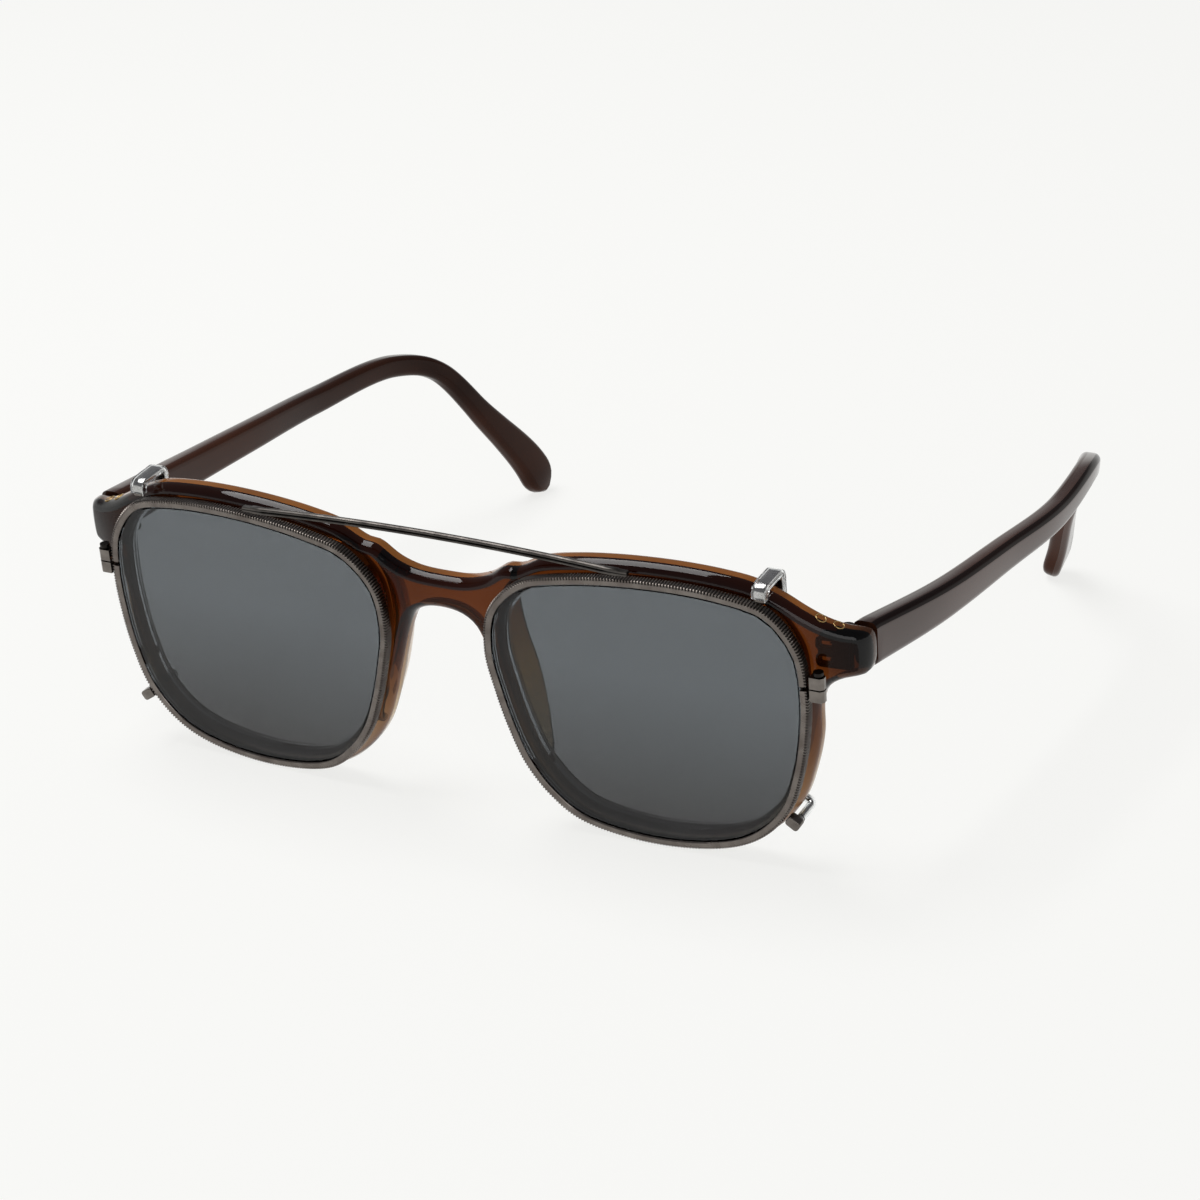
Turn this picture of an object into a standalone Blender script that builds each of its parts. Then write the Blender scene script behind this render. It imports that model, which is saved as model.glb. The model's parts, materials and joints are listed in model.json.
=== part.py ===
"""Acetate spectacles with a metal clip-on sunglass hooked over their front.

Lengths are written in millimetres and turned into metres by MM.
The pieces are drawn in the front's own frame: X to the wearer's left, Y backwards from
the clip's front face, Z up, with the origin midway between the lenses. The "stand" empty
then tips the whole object onto its rims and temple tips and sets it on Z = 0.
"""
import math

import bmesh
import bpy
import numpy as np
from mathutils import Matrix, Vector
from mathutils.geometry import delaunay_2d_cdt

MM = 0.001

# Overall sizes
LENS_BOX_WIDTH = 52.0        # outer width of one clip rim
LENS_BOX_HEIGHT = 45.4       # outer height of one clip rim
LENS_GAP = 16.9              # gap between the two clip rims at the nose
FRONT_WIDTH = 135.4          # across the end pieces
TEMPLE_REACH = 119.2         # from the joint with the front back to the tip
TEMPLE_DROP = 50.2           # from the joint down to the middle of the tip
TEMPLE_BOW = 4.5             # how far the temple bows outwards
TEMPLE_TOE_IN = 13.4         # how far the tip curls inwards
WRAP_ANGLE = math.radians(3.0)

# Clearances
SEAT_GAP = 0.25              # between pieces that are seated on one another
HINGE_GAP = 0.2              # between the knuckles of a hinge

# Clip rims and their lenses
CLIP_RIM_WIDTH = 1.25
CLIP_RIM_DEPTH = 1.8
CLIP_GROOVE_DEPTH = 0.6
CLIP_GROOVE_WIDTH = 1.1
CLIP_LENS_THICK = 1.3
RIM_STATIONS = 60
LENS_STATIONS = 48

# Acetate front
FACE_GAP = 0.3               # from the back of the clip rims to the acetate
FRONT_THICK = 3.8
END_THICK = 3.4              # at the end pieces
END_BEND = 2.6               # how far the end pieces bend back from the front's curve
END_BEND_FROM = 57.0
COVER_SIDE = 0.6             # acetate beyond the clip rim at the side and below
COVER_NOSE = 1.0
COVER_BROW = 1.35
EYE_INSET = 2.2              # from the clip rim's outline in to the lens opening
FRONT_BEVEL = 1.0
BACK_BEVEL = 0.5
LENS_GROOVE_DEPTH = 0.7
LENS_GROOVE_WIDTH = 1.1
LENS_THICK = 1.8
BRIDGE_TOP = 16.4
BRIDGE_BOTTOM = 11.0
END_TOP = 16.2
END_BOTTOM = 8.9
END_ROUND = 1.5

# Nose pads
PAD_HEIGHT = 4.4             # how far a pad stands off the back of the front
PAD_WIDTH = 2.6
PAD_TILT = 1.4               # how far the pad's crest leans away from the nose
PAD_FROM = 143.0             # degrees round the lens outline
PAD_TO = 214.0

# Temples
TEMPLE_THICK = 3.8
TEMPLE_TIP_THICK = 3.4
TEMPLE_HEIGHT = 7.2          # at the front, and the unit of TEMPLE_HEIGHTS
TEMPLE_TIP_ROUND = 4.5
TEMPLE_EDGE_ROUND = 1.3
TEMPLE_STATIONS = 34
CORE_DIAMETER = 1.1
CORE_REACH = 0.66            # share of the temple's length that the core wire fills

# Hinges
KNUCKLE_RADIUS = 1.25
KNUCKLE_HEIGHT = 1.5         # of each knuckle on the front
TEMPLE_KNUCKLE_HEIGHT = 1.9
HINGE_SCREW_RADIUS = 0.55
HINGE_BORE_RADIUS = 0.6
SHOE_HEIGHT = 5.0
SHOE_WIDTH = 5.4
SHOE_THICK = 1.2
SHOE_WINDOW = 1.2
SHOE_BURIED = 1.5            # how deep the shoe sits in the acetate
TEMPLE_SHOE_LENGTH = 8.0
TEMPLE_SHOE_HEIGHT = 3.2
TEMPLE_SHOE_THICK = 0.8

# Clip hardware
BAR_HALF_LENGTH = 33.0
BAR_HEIGHT = 1.2
BAR_DEPTH = 1.0
BAR_GROOVE = 0.28
BAR_ARCH = 0.9
BAR_STEP_LENGTH = 3.8        # flattened foot at each end, soldered on the rim
LOCK_HEIGHT = 1.9            # of each of the two lock blocks
LOCK_WIDTH = 2.2
LOCK_DEPTH = 1.7
LOCK_Z = 8.8
LOCK_SCREW_RADIUS = 0.45
LOCK_HEAD_RADIUS = 0.8
LOCK_HEAD_HEIGHT = 0.55
HOOK_X = 53.4
HOOK_WIDTH = 2.2
HOOK_THICK = 0.4
HOOK_DROP = 2.6              # of the tip behind the front
SLEEVE_WALL = 0.4
SLEEVE_GAP = 0.1
LOWER_ANGLE = 327.0          # degrees round the lens outline
LOWER_BLOCK = 1.9
LOWER_OFFSET = 1.75          # of the arm's centre line outside the rim's outline
ARM_RADIUS = 0.4
ARM_TIP = 2.4                # length of the arm's tip behind the front
ARM_SLEEVE_RADIUS = 0.75

# Outline of one lens, temporal side first, as shares of its half width and half height
LENS_SHAPE = [
    (0.985, 0.0), (1.0, 0.307), (0.96, 0.635), (0.781, 0.895), (0.493, 0.98),
    (0.0, 1.0), (-0.478, 0.946), (-0.754, 0.861), (-0.953, 0.629), (-1.0, 0.306),
    (-0.953, 0.0), (-0.888, -0.272), (-0.799, -0.528), (-0.656, -0.749),
    (-0.461, -0.912), (0.0, -1.0), (0.469, -0.932), (0.694, -0.796),
    (0.858, -0.568), (0.941, -0.289),
]
# Line of the temple: shares of reach, of drop, of bow and of toe-in
TEMPLE_LINE = [
    (0.0, 0.0, 0.0, 0.0), (0.189, 0.085, 0.555, 0.0), (0.392, 0.163, 0.826, 0.0),
    (0.579, 0.233, 1.0, 0.0), (0.782, 0.298, 0.436, 0.0), (0.863, 0.393, 0.0, 0.114),
    (0.917, 0.623, 0.0, 0.541), (0.982, 0.868, 0.0, 0.852), (1.0, 1.0, 0.0, 1.0),
]
# Height of the temple: shares of its length and of TEMPLE_HEIGHT
TEMPLE_HEIGHTS = [
    (0.0, 1.0), (0.2, 0.82), (0.4, 0.69), (0.6, 0.58), (0.74, 0.51), (0.84, 0.62),
    (0.92, 0.97), (0.97, 1.21), (1.0, 1.21),
]

BROWN = (0.16, 0.055, 0.022, 1.0)
DARK_BROWN = (0.045, 0.018, 0.013, 1.0)
GREY_LENS = (0.12, 0.13, 0.135, 1.0)
CLEAR = (0.86, 0.88, 0.88, 1.0)
GUNMETAL = (0.27, 0.25, 0.23, 1.0)
SILVER = (0.75, 0.75, 0.74, 1.0)
STEEL = (0.5, 0.5, 0.5, 1.0)

LENS_CENTRE = (LENS_GAP + LENS_BOX_WIDTH) / 2
CURVE = math.tan(WRAP_ANGLE) / (2 * LENS_CENTRE)   # Y of the front is CURVE * X squared
FACE = CLIP_RIM_DEPTH + FACE_GAP                   # Y of the acetate's face at the nose
END_X = FRONT_WIDTH / 2
JOINT_Y = FACE + CURVE * END_X ** 2 + END_BEND + END_THICK + SEAT_GAP
HINGE_X = END_X - TEMPLE_THICK - KNUCKLE_RADIUS - SEAT_GAP
HINGE_Y = JOINT_Y + KNUCKLE_RADIUS + SEAT_GAP
END_MIDDLE = (END_TOP + END_BOTTOM) / 2


def clear_scene():
    """Remove the objects that the file opens with."""
    for old in list(bpy.data.objects):
        bpy.data.objects.remove(old)


def make_material(name, colour, roughness, metallic=0.0, transmission=0.0):
    """A Principled material."""
    material = bpy.data.materials.new(name)
    material.use_nodes = True
    shader = material.node_tree.nodes["Principled BSDF"]
    shader.inputs["Base Color"].default_value = colour
    shader.inputs["Roughness"].default_value = roughness
    shader.inputs["Metallic"].default_value = metallic
    shader.inputs["Transmission Weight"].default_value = transmission
    return material


def make_object(name, mesh, parent, look):
    """Turn a bmesh given in millimetres into an object under its parent empty."""
    for vertex in mesh.verts:
        vertex.co = vertex.co * MM - parent["place"]
    bmesh.ops.recalc_face_normals(mesh, faces=mesh.faces)
    data = bpy.data.meshes.new(name)
    mesh.to_mesh(data)
    mesh.free()
    data.shade_smooth()
    data.set_sharp_from_angle(angle=math.radians(35))
    obj = bpy.data.objects.new(name, data)
    bpy.context.collection.objects.link(obj)
    obj.parent = parent["empty"]
    obj.data.materials.append(make_material(name, *look))
    return obj


def mirror_object(left, parent):
    """The wearer's right-hand copy of a left-hand piece."""
    data = left.data.copy()
    for vertex in data.vertices:
        vertex.co.x *= -1
    data.flip_normals()
    obj = bpy.data.objects.new(left.name.replace("_left", "_right"), data)
    bpy.context.collection.objects.link(obj)
    obj.parent = parent["empty"]
    return obj


def make_empty(name, place, parent=None):
    """An empty at a place in millimetres, and that place in metres."""
    empty = bpy.data.objects.new(name, None)
    bpy.context.collection.objects.link(empty)
    spot = Vector(place) * MM
    if parent:
        empty.parent = parent["empty"]
        empty.location = spot - parent["place"]
    return {"empty": empty, "place": spot}


def smooth_curve(points, count, closed):
    """Centripetal Catmull-Rom curve through the points, resampled at even steps."""
    line = [np.array(point, float) for point in points]
    if closed:
        line = [line[-1], *line, line[0], line[1]]
    else:
        line = [2 * line[0] - line[1], *line, 2 * line[-1] - line[-2]]
    fine = []
    for p0, p1, p2, p3 in zip(line, line[1:], line[2:], line[3:]):
        t1 = np.linalg.norm(p1 - p0) ** 0.5
        t2 = t1 + np.linalg.norm(p2 - p1) ** 0.5
        t3 = t2 + np.linalg.norm(p3 - p2) ** 0.5
        for t in np.linspace(t1, t2, 24, endpoint=False):
            a1 = ((t1 - t) * p0 + t * p1) / t1
            a2 = ((t2 - t) * p1 + (t - t1) * p2) / (t2 - t1)
            a3 = ((t3 - t) * p2 + (t - t2) * p3) / (t3 - t2)
            b1 = ((t2 - t) * a1 + t * a2) / t2
            b2 = ((t3 - t) * a2 + (t - t1) * a3) / (t3 - t1)
            fine.append(((t2 - t) * b1 + (t - t1) * b2) / (t2 - t1))
    fine.append(line[-2])
    fine = np.array(fine)
    steps = np.linalg.norm(np.diff(fine, axis=0), axis=1)
    along = np.concatenate([[0.0], np.cumsum(steps)])
    wanted = np.linspace(0.0, along[-1], count, endpoint=not closed)
    return np.stack([np.interp(wanted, along, fine[:, axis]) for axis in range(fine.shape[1])], axis=1)


def outward_normals(outline):
    """Unit normals of a closed counter-clockwise outline."""
    tangent = np.roll(outline, -1, axis=0) - np.roll(outline, 1, axis=0)
    normal = np.stack([tangent[:, 1], -tangent[:, 0]], axis=1)
    return normal / np.linalg.norm(normal, axis=1, keepdims=True)


def lens_outline(offset, count=RIM_STATIONS):
    """Outline of the left lens grown by an offset, in the front's X and Z."""
    half = np.array([LENS_BOX_WIDTH / 2, LENS_BOX_HEIGHT / 2])
    outline = smooth_curve(np.array(LENS_SHAPE) * half, count, closed=True)
    return outline + outward_normals(outline) * offset + np.array([LENS_CENTRE, 0.0])


def lens_angles(outline):
    """Angle of each outline point about the lens centre, 0 to 360 degrees from temporal."""
    return np.degrees(np.arctan2(outline[:, 1], outline[:, 0] - LENS_CENTRE)) % 360.0


def at_angle(offset, angle):
    """Point of the lens outline, grown by an offset, at an angle from the temporal side."""
    outline = lens_outline(offset, 360)
    turn = (lens_angles(outline) - angle + 180.0) % 360.0 - 180.0
    return outline[np.argmin(np.abs(turn))]


def clip_place(x, z, depth):
    """A point of the flat, wrapped clip rim, depth behind its front face."""
    run = x - LENS_CENTRE
    y = CURVE * LENS_CENTRE ** 2 + run * math.tan(WRAP_ANGLE) + depth
    return Vector((x, y, z))


def front_place(x, z, depth):
    """A point of the curved acetate front, depth behind its face, thinner at the ends."""
    share = min(1.0, max(0.0, (abs(x) - LENS_CENTRE) / (END_X - LENS_CENTRE)))
    thinning = 1.0 + (END_THICK / FRONT_THICK - 1.0) * share * share
    bent = max(0.0, (abs(x) - END_BEND_FROM) / (END_X - END_BEND_FROM))
    return Vector((x, FACE + CURVE * x * x + END_BEND * bent * bent + depth * thinning, z))


def add_loop(mesh, points):
    return [mesh.verts.new(point) for point in points]


def bridge(mesh, loop_a, loop_b, closed=True):
    """Quads between two loops with the same number of points."""
    count = len(loop_a)
    for i in range(count if closed else count - 1):
        j = (i + 1) % count
        mesh.faces.new((loop_a[i], loop_a[j], loop_b[j], loop_b[i]))


def cap(mesh, outer, holes=(), axes=(0, 2)):
    """Fill the region between an outer loop and hole loops, seen along the third axis."""
    loops = [outer, *holes]
    corners = [corner for loop in loops for corner in loop]
    flat = [Vector((corner.co[axes[0]], corner.co[axes[1]])) for corner in corners]
    edges = []
    borders = []
    start = 0
    for loop in loops:
        edges += [(start + i, start + (i + 1) % len(loop)) for i in range(len(loop))]
        borders.append(flat[start:start + len(loop)])
        start += len(loop)
    filled = delaunay_2d_cdt(flat, edges, [], 0, 1e-7)
    for face in filled[2]:
        middle = sum((filled[0][i] for i in face), Vector((0.0, 0.0))) / len(face)
        if inside(middle, borders[0]) and not any(inside(middle, hole) for hole in borders[1:]):
            mesh.faces.new([corners[filled[3][i][0]] for i in face])


def inside(point, polygon):
    """Whether a point lies inside a closed polygon, by counting crossings."""
    crossed = False
    for a, b in zip(polygon, polygon[1:] + polygon[:1]):
        if (a.y > point.y) != (b.y > point.y):
            if point.x < a.x + (point.y - a.y) * (b.x - a.x) / (b.y - a.y):
                crossed = not crossed
    return crossed


def box(low, high, matrix=None):
    """A box between two corners, moved by an optional matrix."""
    mesh = bmesh.new()
    bmesh.ops.create_cube(mesh, size=1.0)
    for vertex in mesh.verts:
        spot = vertex.co + Vector((0.5, 0.5, 0.5))
        vertex.co = [low[k] + (high[k] - low[k]) * spot[k] for k in range(3)]
    if matrix:
        mesh.transform(matrix)
    return mesh


def circle(centre, radius, sides=16):
    """Points of a circle, counter-clockwise."""
    steps = [2 * math.pi * i / sides for i in range(sides)]
    return [(centre[0] + radius * math.cos(a), centre[1] + radius * math.sin(a)) for a in steps]


def prism(outline, hole, low, high):
    """An upright prism with an outline and an optional round hole in X and Y."""
    mesh = bmesh.new()
    walls = []
    for points in [outline] + ([hole] if hole else []):
        bottom = add_loop(mesh, [(x, y, low) for x, y in points])
        top = add_loop(mesh, [(x, y, high) for x, y in points])
        bridge(mesh, bottom, top)
        walls.append((bottom, top))
    for level in (0, 1):
        cap(mesh, walls[0][level], [wall[level] for wall in walls[1:]], axes=(0, 1))
    return mesh


def turned(profile, centre, sides=14):
    """An upright turned piece: (radius, height) points spun about its centre line."""
    mesh = bmesh.new()
    loops = []
    for radius, height in profile:
        loops.append(add_loop(mesh, [(x, y, centre[2] + height)
                                     for x, y in circle(centre, radius, sides)]))
    for loop_a, loop_b in zip(loops, loops[1:]):
        bridge(mesh, loop_a, loop_b)
    mesh.faces.new(loops[0])
    mesh.faces.new(loops[-1])
    return mesh


def loft(sections):
    """A skin through loops of points, with flat ends."""
    mesh = bmesh.new()
    loops = [add_loop(mesh, section) for section in sections]
    for loop_a, loop_b in zip(loops, loops[1:]):
        bridge(mesh, loop_a, loop_b)
    mesh.faces.new(loops[0])
    mesh.faces.new(loops[-1])
    return mesh


def tube(path, radius, bore=0.0, sides=8):
    """A round bar, or a tube with a bore, along a path of points."""
    frames = [path_frame(path, i) for i in range(len(path))]
    mesh = bmesh.new()
    skins = []
    for size in [radius] + ([bore] if bore else []):
        loops = []
        for centre, (side_axis, up_axis, _) in zip(path, frames):
            ring = circle((0.0, 0.0), size, sides)
            loops.append(add_loop(mesh, [centre + side_axis * a + up_axis * b for a, b in ring]))
        for loop_a, loop_b in zip(loops, loops[1:]):
            bridge(mesh, loop_a, loop_b)
        skins.append(loops)
    for end in (0, -1):
        if bore:
            bridge(mesh, skins[0][end], skins[1][end])
        else:
            mesh.faces.new(skins[0][end])
    return mesh


def path_frame(path, i):
    """Side, up and forward axes of a path at one of its points; side stays near X."""
    forward = (path[min(i + 1, len(path) - 1)] - path[max(i - 1, 0)]).normalized()
    reference = Vector((1, 0, 0)) if abs(forward.x) < 0.9 else Vector((0, 1, 0))
    side_axis = (reference - forward * reference.dot(forward)).normalized()
    return side_axis, side_axis.cross(forward), forward


def combine(obj, tool_mesh, parent, operation):
    """Cut or join an object with a mesh given in millimetres, exactly, and keep the result."""
    tool = make_object(obj.name + "_tool", tool_mesh, parent, (CLEAR, 0.5))
    modifier = obj.modifiers.new("combine", "BOOLEAN")
    modifier.operation = operation
    modifier.solver = "EXACT"
    modifier.object = tool
    bpy.context.view_layer.update()
    evaluated = obj.evaluated_get(bpy.context.evaluated_depsgraph_get())
    result = bpy.data.meshes.new_from_object(evaluated)
    obj.modifiers.clear()
    result.materials.clear()
    result.materials.append(obj.data.materials[0])
    obj.data = result
    bpy.data.objects.remove(tool)


# ---------------------------------------------------------------- acetate front

def front_outline(count=132):
    """Closed outline of the whole front, counter-clockwise from under the bridge."""
    turns = [0, 30, 55, 120, 150, 180, 215, 260, 360]
    covers = [COVER_SIDE, COVER_SIDE, COVER_BROW, COVER_BROW + 0.2, COVER_NOSE, COVER_NOSE,
              COVER_NOSE, COVER_SIDE, COVER_SIDE]

    def rim_points(angles):
        return [tuple(at_angle(float(np.interp(a, turns, covers)), a)) for a in angles]

    under_bridge = [(0.0, BRIDGE_BOTTOM), (3.1, BRIDGE_BOTTOM - 0.45),
                    (5.1, BRIDGE_BOTTOM - 1.7), (6.4, BRIDGE_BOTTOM - 4.0)]
    lower_rim = rim_points([183, 196, 210, 225, 240, 255, 270, 285, 300, 315, 330, 345, 357])
    side_x = lower_rim[-1][0]
    end_piece = [
        (side_x + 0.15, END_BOTTOM - 5.2), (side_x + 0.7, END_BOTTOM - 3.0),
        (side_x + 1.9, END_BOTTOM - 1.3), (side_x + 3.6, END_BOTTOM - 0.4),
        (END_X - END_ROUND, END_BOTTOM), (END_X - 0.3 * END_ROUND, END_BOTTOM + 0.3 * END_ROUND),
        (END_X, END_BOTTOM + END_ROUND), (END_X, END_TOP - END_ROUND),
        (END_X - 0.3 * END_ROUND, END_TOP - 0.3 * END_ROUND), (END_X - END_ROUND, END_TOP),
        (END_X - 3.4, END_TOP + 0.45), (END_X - 6.2, END_TOP + 1.6), (END_X - 9.1, END_TOP + 3.2),
    ]
    brow = rim_points([46, 54, 64, 76, 90, 104, 117, 128, 136])
    bridge_top = [(11.2, BRIDGE_TOP + 3.4), (7.9, BRIDGE_TOP + 1.3),
                  (4.6, BRIDGE_TOP + 0.25), (0.0, BRIDGE_TOP)]
    half = under_bridge + lower_rim + end_piece + brow + bridge_top
    other_half = [(-x, z) for x, z in reversed(half[1:-1])]
    return smooth_curve(half + other_half, count, closed=True)


def front_skin(mesh, outline, profile, place=front_place):
    """Loops of an outline offset and sunk by each (offset, depth) of a profile, bridged."""
    normals = outward_normals(outline)
    loops = []
    for offset, depth in profile:
        points = outline + normals * offset
        loops.append(add_loop(mesh, [place(x, z, depth) for x, z in points]))
    for loop_a, loop_b in zip(loops, loops[1:]):
        bridge(mesh, loop_a, loop_b)
    return loops


def groove_profile(lip, depth, width, thick, edge):
    """Profile of a lens opening: a rounded lip, a groove half way, and a rounded back."""
    middle = thick / 2
    return [(lip + edge, 0.0), (lip, edge), (lip, middle - width / 2),
            (lip + depth, middle - width / 2), (lip + depth, middle + width / 2),
            (lip, middle + width / 2), (lip, thick - edge), (lip + edge, thick)]


def front_frame(parent):
    mesh = bmesh.new()
    bevel_turn = 0.3
    outer = front_skin(mesh, front_outline(), [
        (-FRONT_BEVEL, 0.0), (-bevel_turn * FRONT_BEVEL, bevel_turn * FRONT_BEVEL),
        (0.0, FRONT_BEVEL), (0.0, FRONT_THICK - BACK_BEVEL), (-BACK_BEVEL, FRONT_THICK)])
    profile = groove_profile(-EYE_INSET, LENS_GROOVE_DEPTH, LENS_GROOVE_WIDTH, FRONT_THICK,
                             BACK_BEVEL)
    holes = []
    for side in (1, -1):
        outline = lens_outline(0.0, LENS_STATIONS)
        if side < 0:
            outline = outline[::-1] * np.array([-1.0, 1.0])
        holes.append(front_skin(mesh, outline, profile))
    cap(mesh, outer[0], [loops[0] for loops in holes])
    cap(mesh, outer[-1], [loops[-1] for loops in holes])
    frame = make_object("front_frame", mesh, parent, (BROWN, 0.12, 0.0, 0.6))
    low, high = shoe_box(SEAT_GAP)
    combine(frame, box(low, high), parent, "DIFFERENCE")
    combine(frame, box((-high[0], *low[1:]), (-low[0], *high[1:])), parent, "DIFFERENCE")
    return frame


def shoe_box(gap):
    """Corners of the hinge shoe sunk in the back of the end piece, or of its pocket."""
    back = front_place(HINGE_X, 0.0, FRONT_THICK).y
    low = (HINGE_X - SHOE_WIDTH / 2 - gap, back - SHOE_BURIED - gap, END_MIDDLE - SHOE_HEIGHT / 2 - gap)
    past_back = 4.0 if gap else SHOE_THICK - SHOE_BURIED
    high = (HINGE_X + SHOE_WIDTH / 2 + gap, back + past_back, END_MIDDLE + SHOE_HEIGHT / 2 + gap)
    return low, high


def nose_pad(parent):
    """A glued pad on the back of the rim, its crest leaning away from the nose."""
    outline = lens_outline(0.0, 360)
    normals = outward_normals(outline)
    angles = lens_angles(outline)
    sections = []
    steps = 13
    for i in range(steps):
        share = i / (steps - 1)
        k = int(np.argmin(np.abs(angles - (PAD_FROM + (PAD_TO - PAD_FROM) * share))))
        swell = 0.1 + 0.9 * math.sin(math.pi * share) ** 0.7
        width = PAD_WIDTH * (0.55 + 0.45 * swell)
        middle = (COVER_NOSE - EYE_INSET) / 2
        rows = [(width / 2, 0.0, 0.0), (width / 2, 0.6, 0.5), (width / 4, 0.95, 0.9),
                (-width / 4, 1.0, 1.0), (-width / 2, 0.7, 0.7), (-width / 2, 0.0, 0.0)]
        section = []
        for across, rise, lean in rows:
            offset = middle + across - PAD_TILT * lean * swell
            x, z = outline[k] + normals[k] * offset
            depth = FRONT_THICK + SEAT_GAP + PAD_HEIGHT * rise * swell
            section.append(front_place(x, z, depth))
        sections.append(section)
    return make_object("nose_pad_left", loft(sections), parent, (BROWN, 0.15, 0.0, 0.6))


def lens(parent, name, lip, groove_depth, groove_width, rim_thick, thick, place, look):
    """A lens whose tongue sits in the groove of its rim."""
    mesh = bmesh.new()
    body = lip - SEAT_GAP
    tongue = lip + groove_depth - SEAT_GAP
    half_tongue = groove_width / 2 - SEAT_GAP
    middle = rim_thick / 2
    profile = [(body, middle - thick / 2), (body, middle - half_tongue),
               (tongue, middle - half_tongue), (tongue, middle + half_tongue),
               (body, middle + half_tongue), (body, middle + thick / 2)]
    loops = front_skin(mesh, lens_outline(0.0, LENS_STATIONS), profile, place)
    cap(mesh, loops[0])
    cap(mesh, loops[-1])
    return make_object(name, mesh, parent, look)


# ---------------------------------------------------------------- hinges

def knuckle(low, high, web_x, web_y):
    """A hinge knuckle with its bore and a web that reaches to (web_x, web_y)."""
    to_web = Vector((web_x - HINGE_X, web_y - HINGE_Y))
    start = math.atan2(to_web.y, to_web.x)
    half_web = 0.6 * KNUCKLE_RADIUS
    outline = []
    steps = 12
    for i in range(steps + 1):
        angle = start + math.radians(50) + math.radians(260) * i / steps
        outline.append((HINGE_X + KNUCKLE_RADIUS * math.cos(angle),
                        HINGE_Y + KNUCKLE_RADIUS * math.sin(angle)))
    across = Vector((-to_web.y, to_web.x)).normalized() * half_web
    outline.append((web_x - across.x, web_y - across.y))
    outline.append((web_x + across.x, web_y + across.y))
    return prism(outline, circle((HINGE_X, HINGE_Y), HINGE_BORE_RADIUS, 12), low, high)


def knuckle_levels():
    """Heights of the three knuckles: the lower and upper ones are on the front."""
    half = TEMPLE_KNUCKLE_HEIGHT / 2
    near = half + HINGE_GAP
    return [(END_MIDDLE - near - KNUCKLE_HEIGHT, END_MIDDLE - near),
            (END_MIDDLE - half, END_MIDDLE + half),
            (END_MIDDLE + near, END_MIDDLE + near + KNUCKLE_HEIGHT)]


def front_hinge(parent):
    low, high = shoe_box(0.0)
    hinge = make_object("front_hinge_left", box(low, high), parent, (STEEL, 0.3, 1.0))
    lower, _, upper = knuckle_levels()
    for level in (lower, upper):
        web_y = high[1] - SHOE_THICK / 2
        combine(hinge, knuckle(*level, HINGE_X, web_y), parent, "UNION")
    for shift in (-1, 1):
        middle = HINGE_X - SHOE_WIDTH / 4
        level = END_MIDDLE + shift * SHOE_HEIGHT / 4.2
        window = box((middle - SHOE_WINDOW / 2, low[1] - 1, level - SHOE_WINDOW / 2),
                     (middle + SHOE_WINDOW / 2, high[1] + 1, level + SHOE_WINDOW / 2))
        combine(hinge, window, parent, "DIFFERENCE")
    return hinge


def hinge_screw(parent):
    top = knuckle_levels()[2][1]
    bottom = knuckle_levels()[0][0]
    head = 0.95
    profile = [(HINGE_SCREW_RADIUS, 0.0), (HINGE_SCREW_RADIUS, top - bottom + HINGE_GAP),
               (head, top - bottom + HINGE_GAP), (head, top - bottom + HINGE_GAP + 0.5)]
    return make_object("hinge_screw_left", turned(profile, (HINGE_X, HINGE_Y, bottom)), parent,
                       (SILVER, 0.25, 1.0))


# ---------------------------------------------------------------- temples

def temple_line(count):
    """Centre line of the left temple, from the joint with the front to the tip."""
    points = []
    for reach, drop, bow, toe in TEMPLE_LINE:
        points.append((END_X - TEMPLE_THICK / 2 + TEMPLE_BOW * bow - TEMPLE_TOE_IN * toe,
                       JOINT_Y + TEMPLE_REACH * reach, END_MIDDLE - TEMPLE_DROP * drop))
    return [Vector(point) for point in smooth_curve(points, count, closed=False)]


def temple_section(share):
    """Thickness and height of the temple at a share of its length."""
    height = TEMPLE_HEIGHT * np.interp(share, *zip(*TEMPLE_HEIGHTS))
    thick = np.interp(share, [0.0, 1.0], [TEMPLE_THICK, TEMPLE_TIP_THICK])
    return float(thick), float(height)


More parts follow.
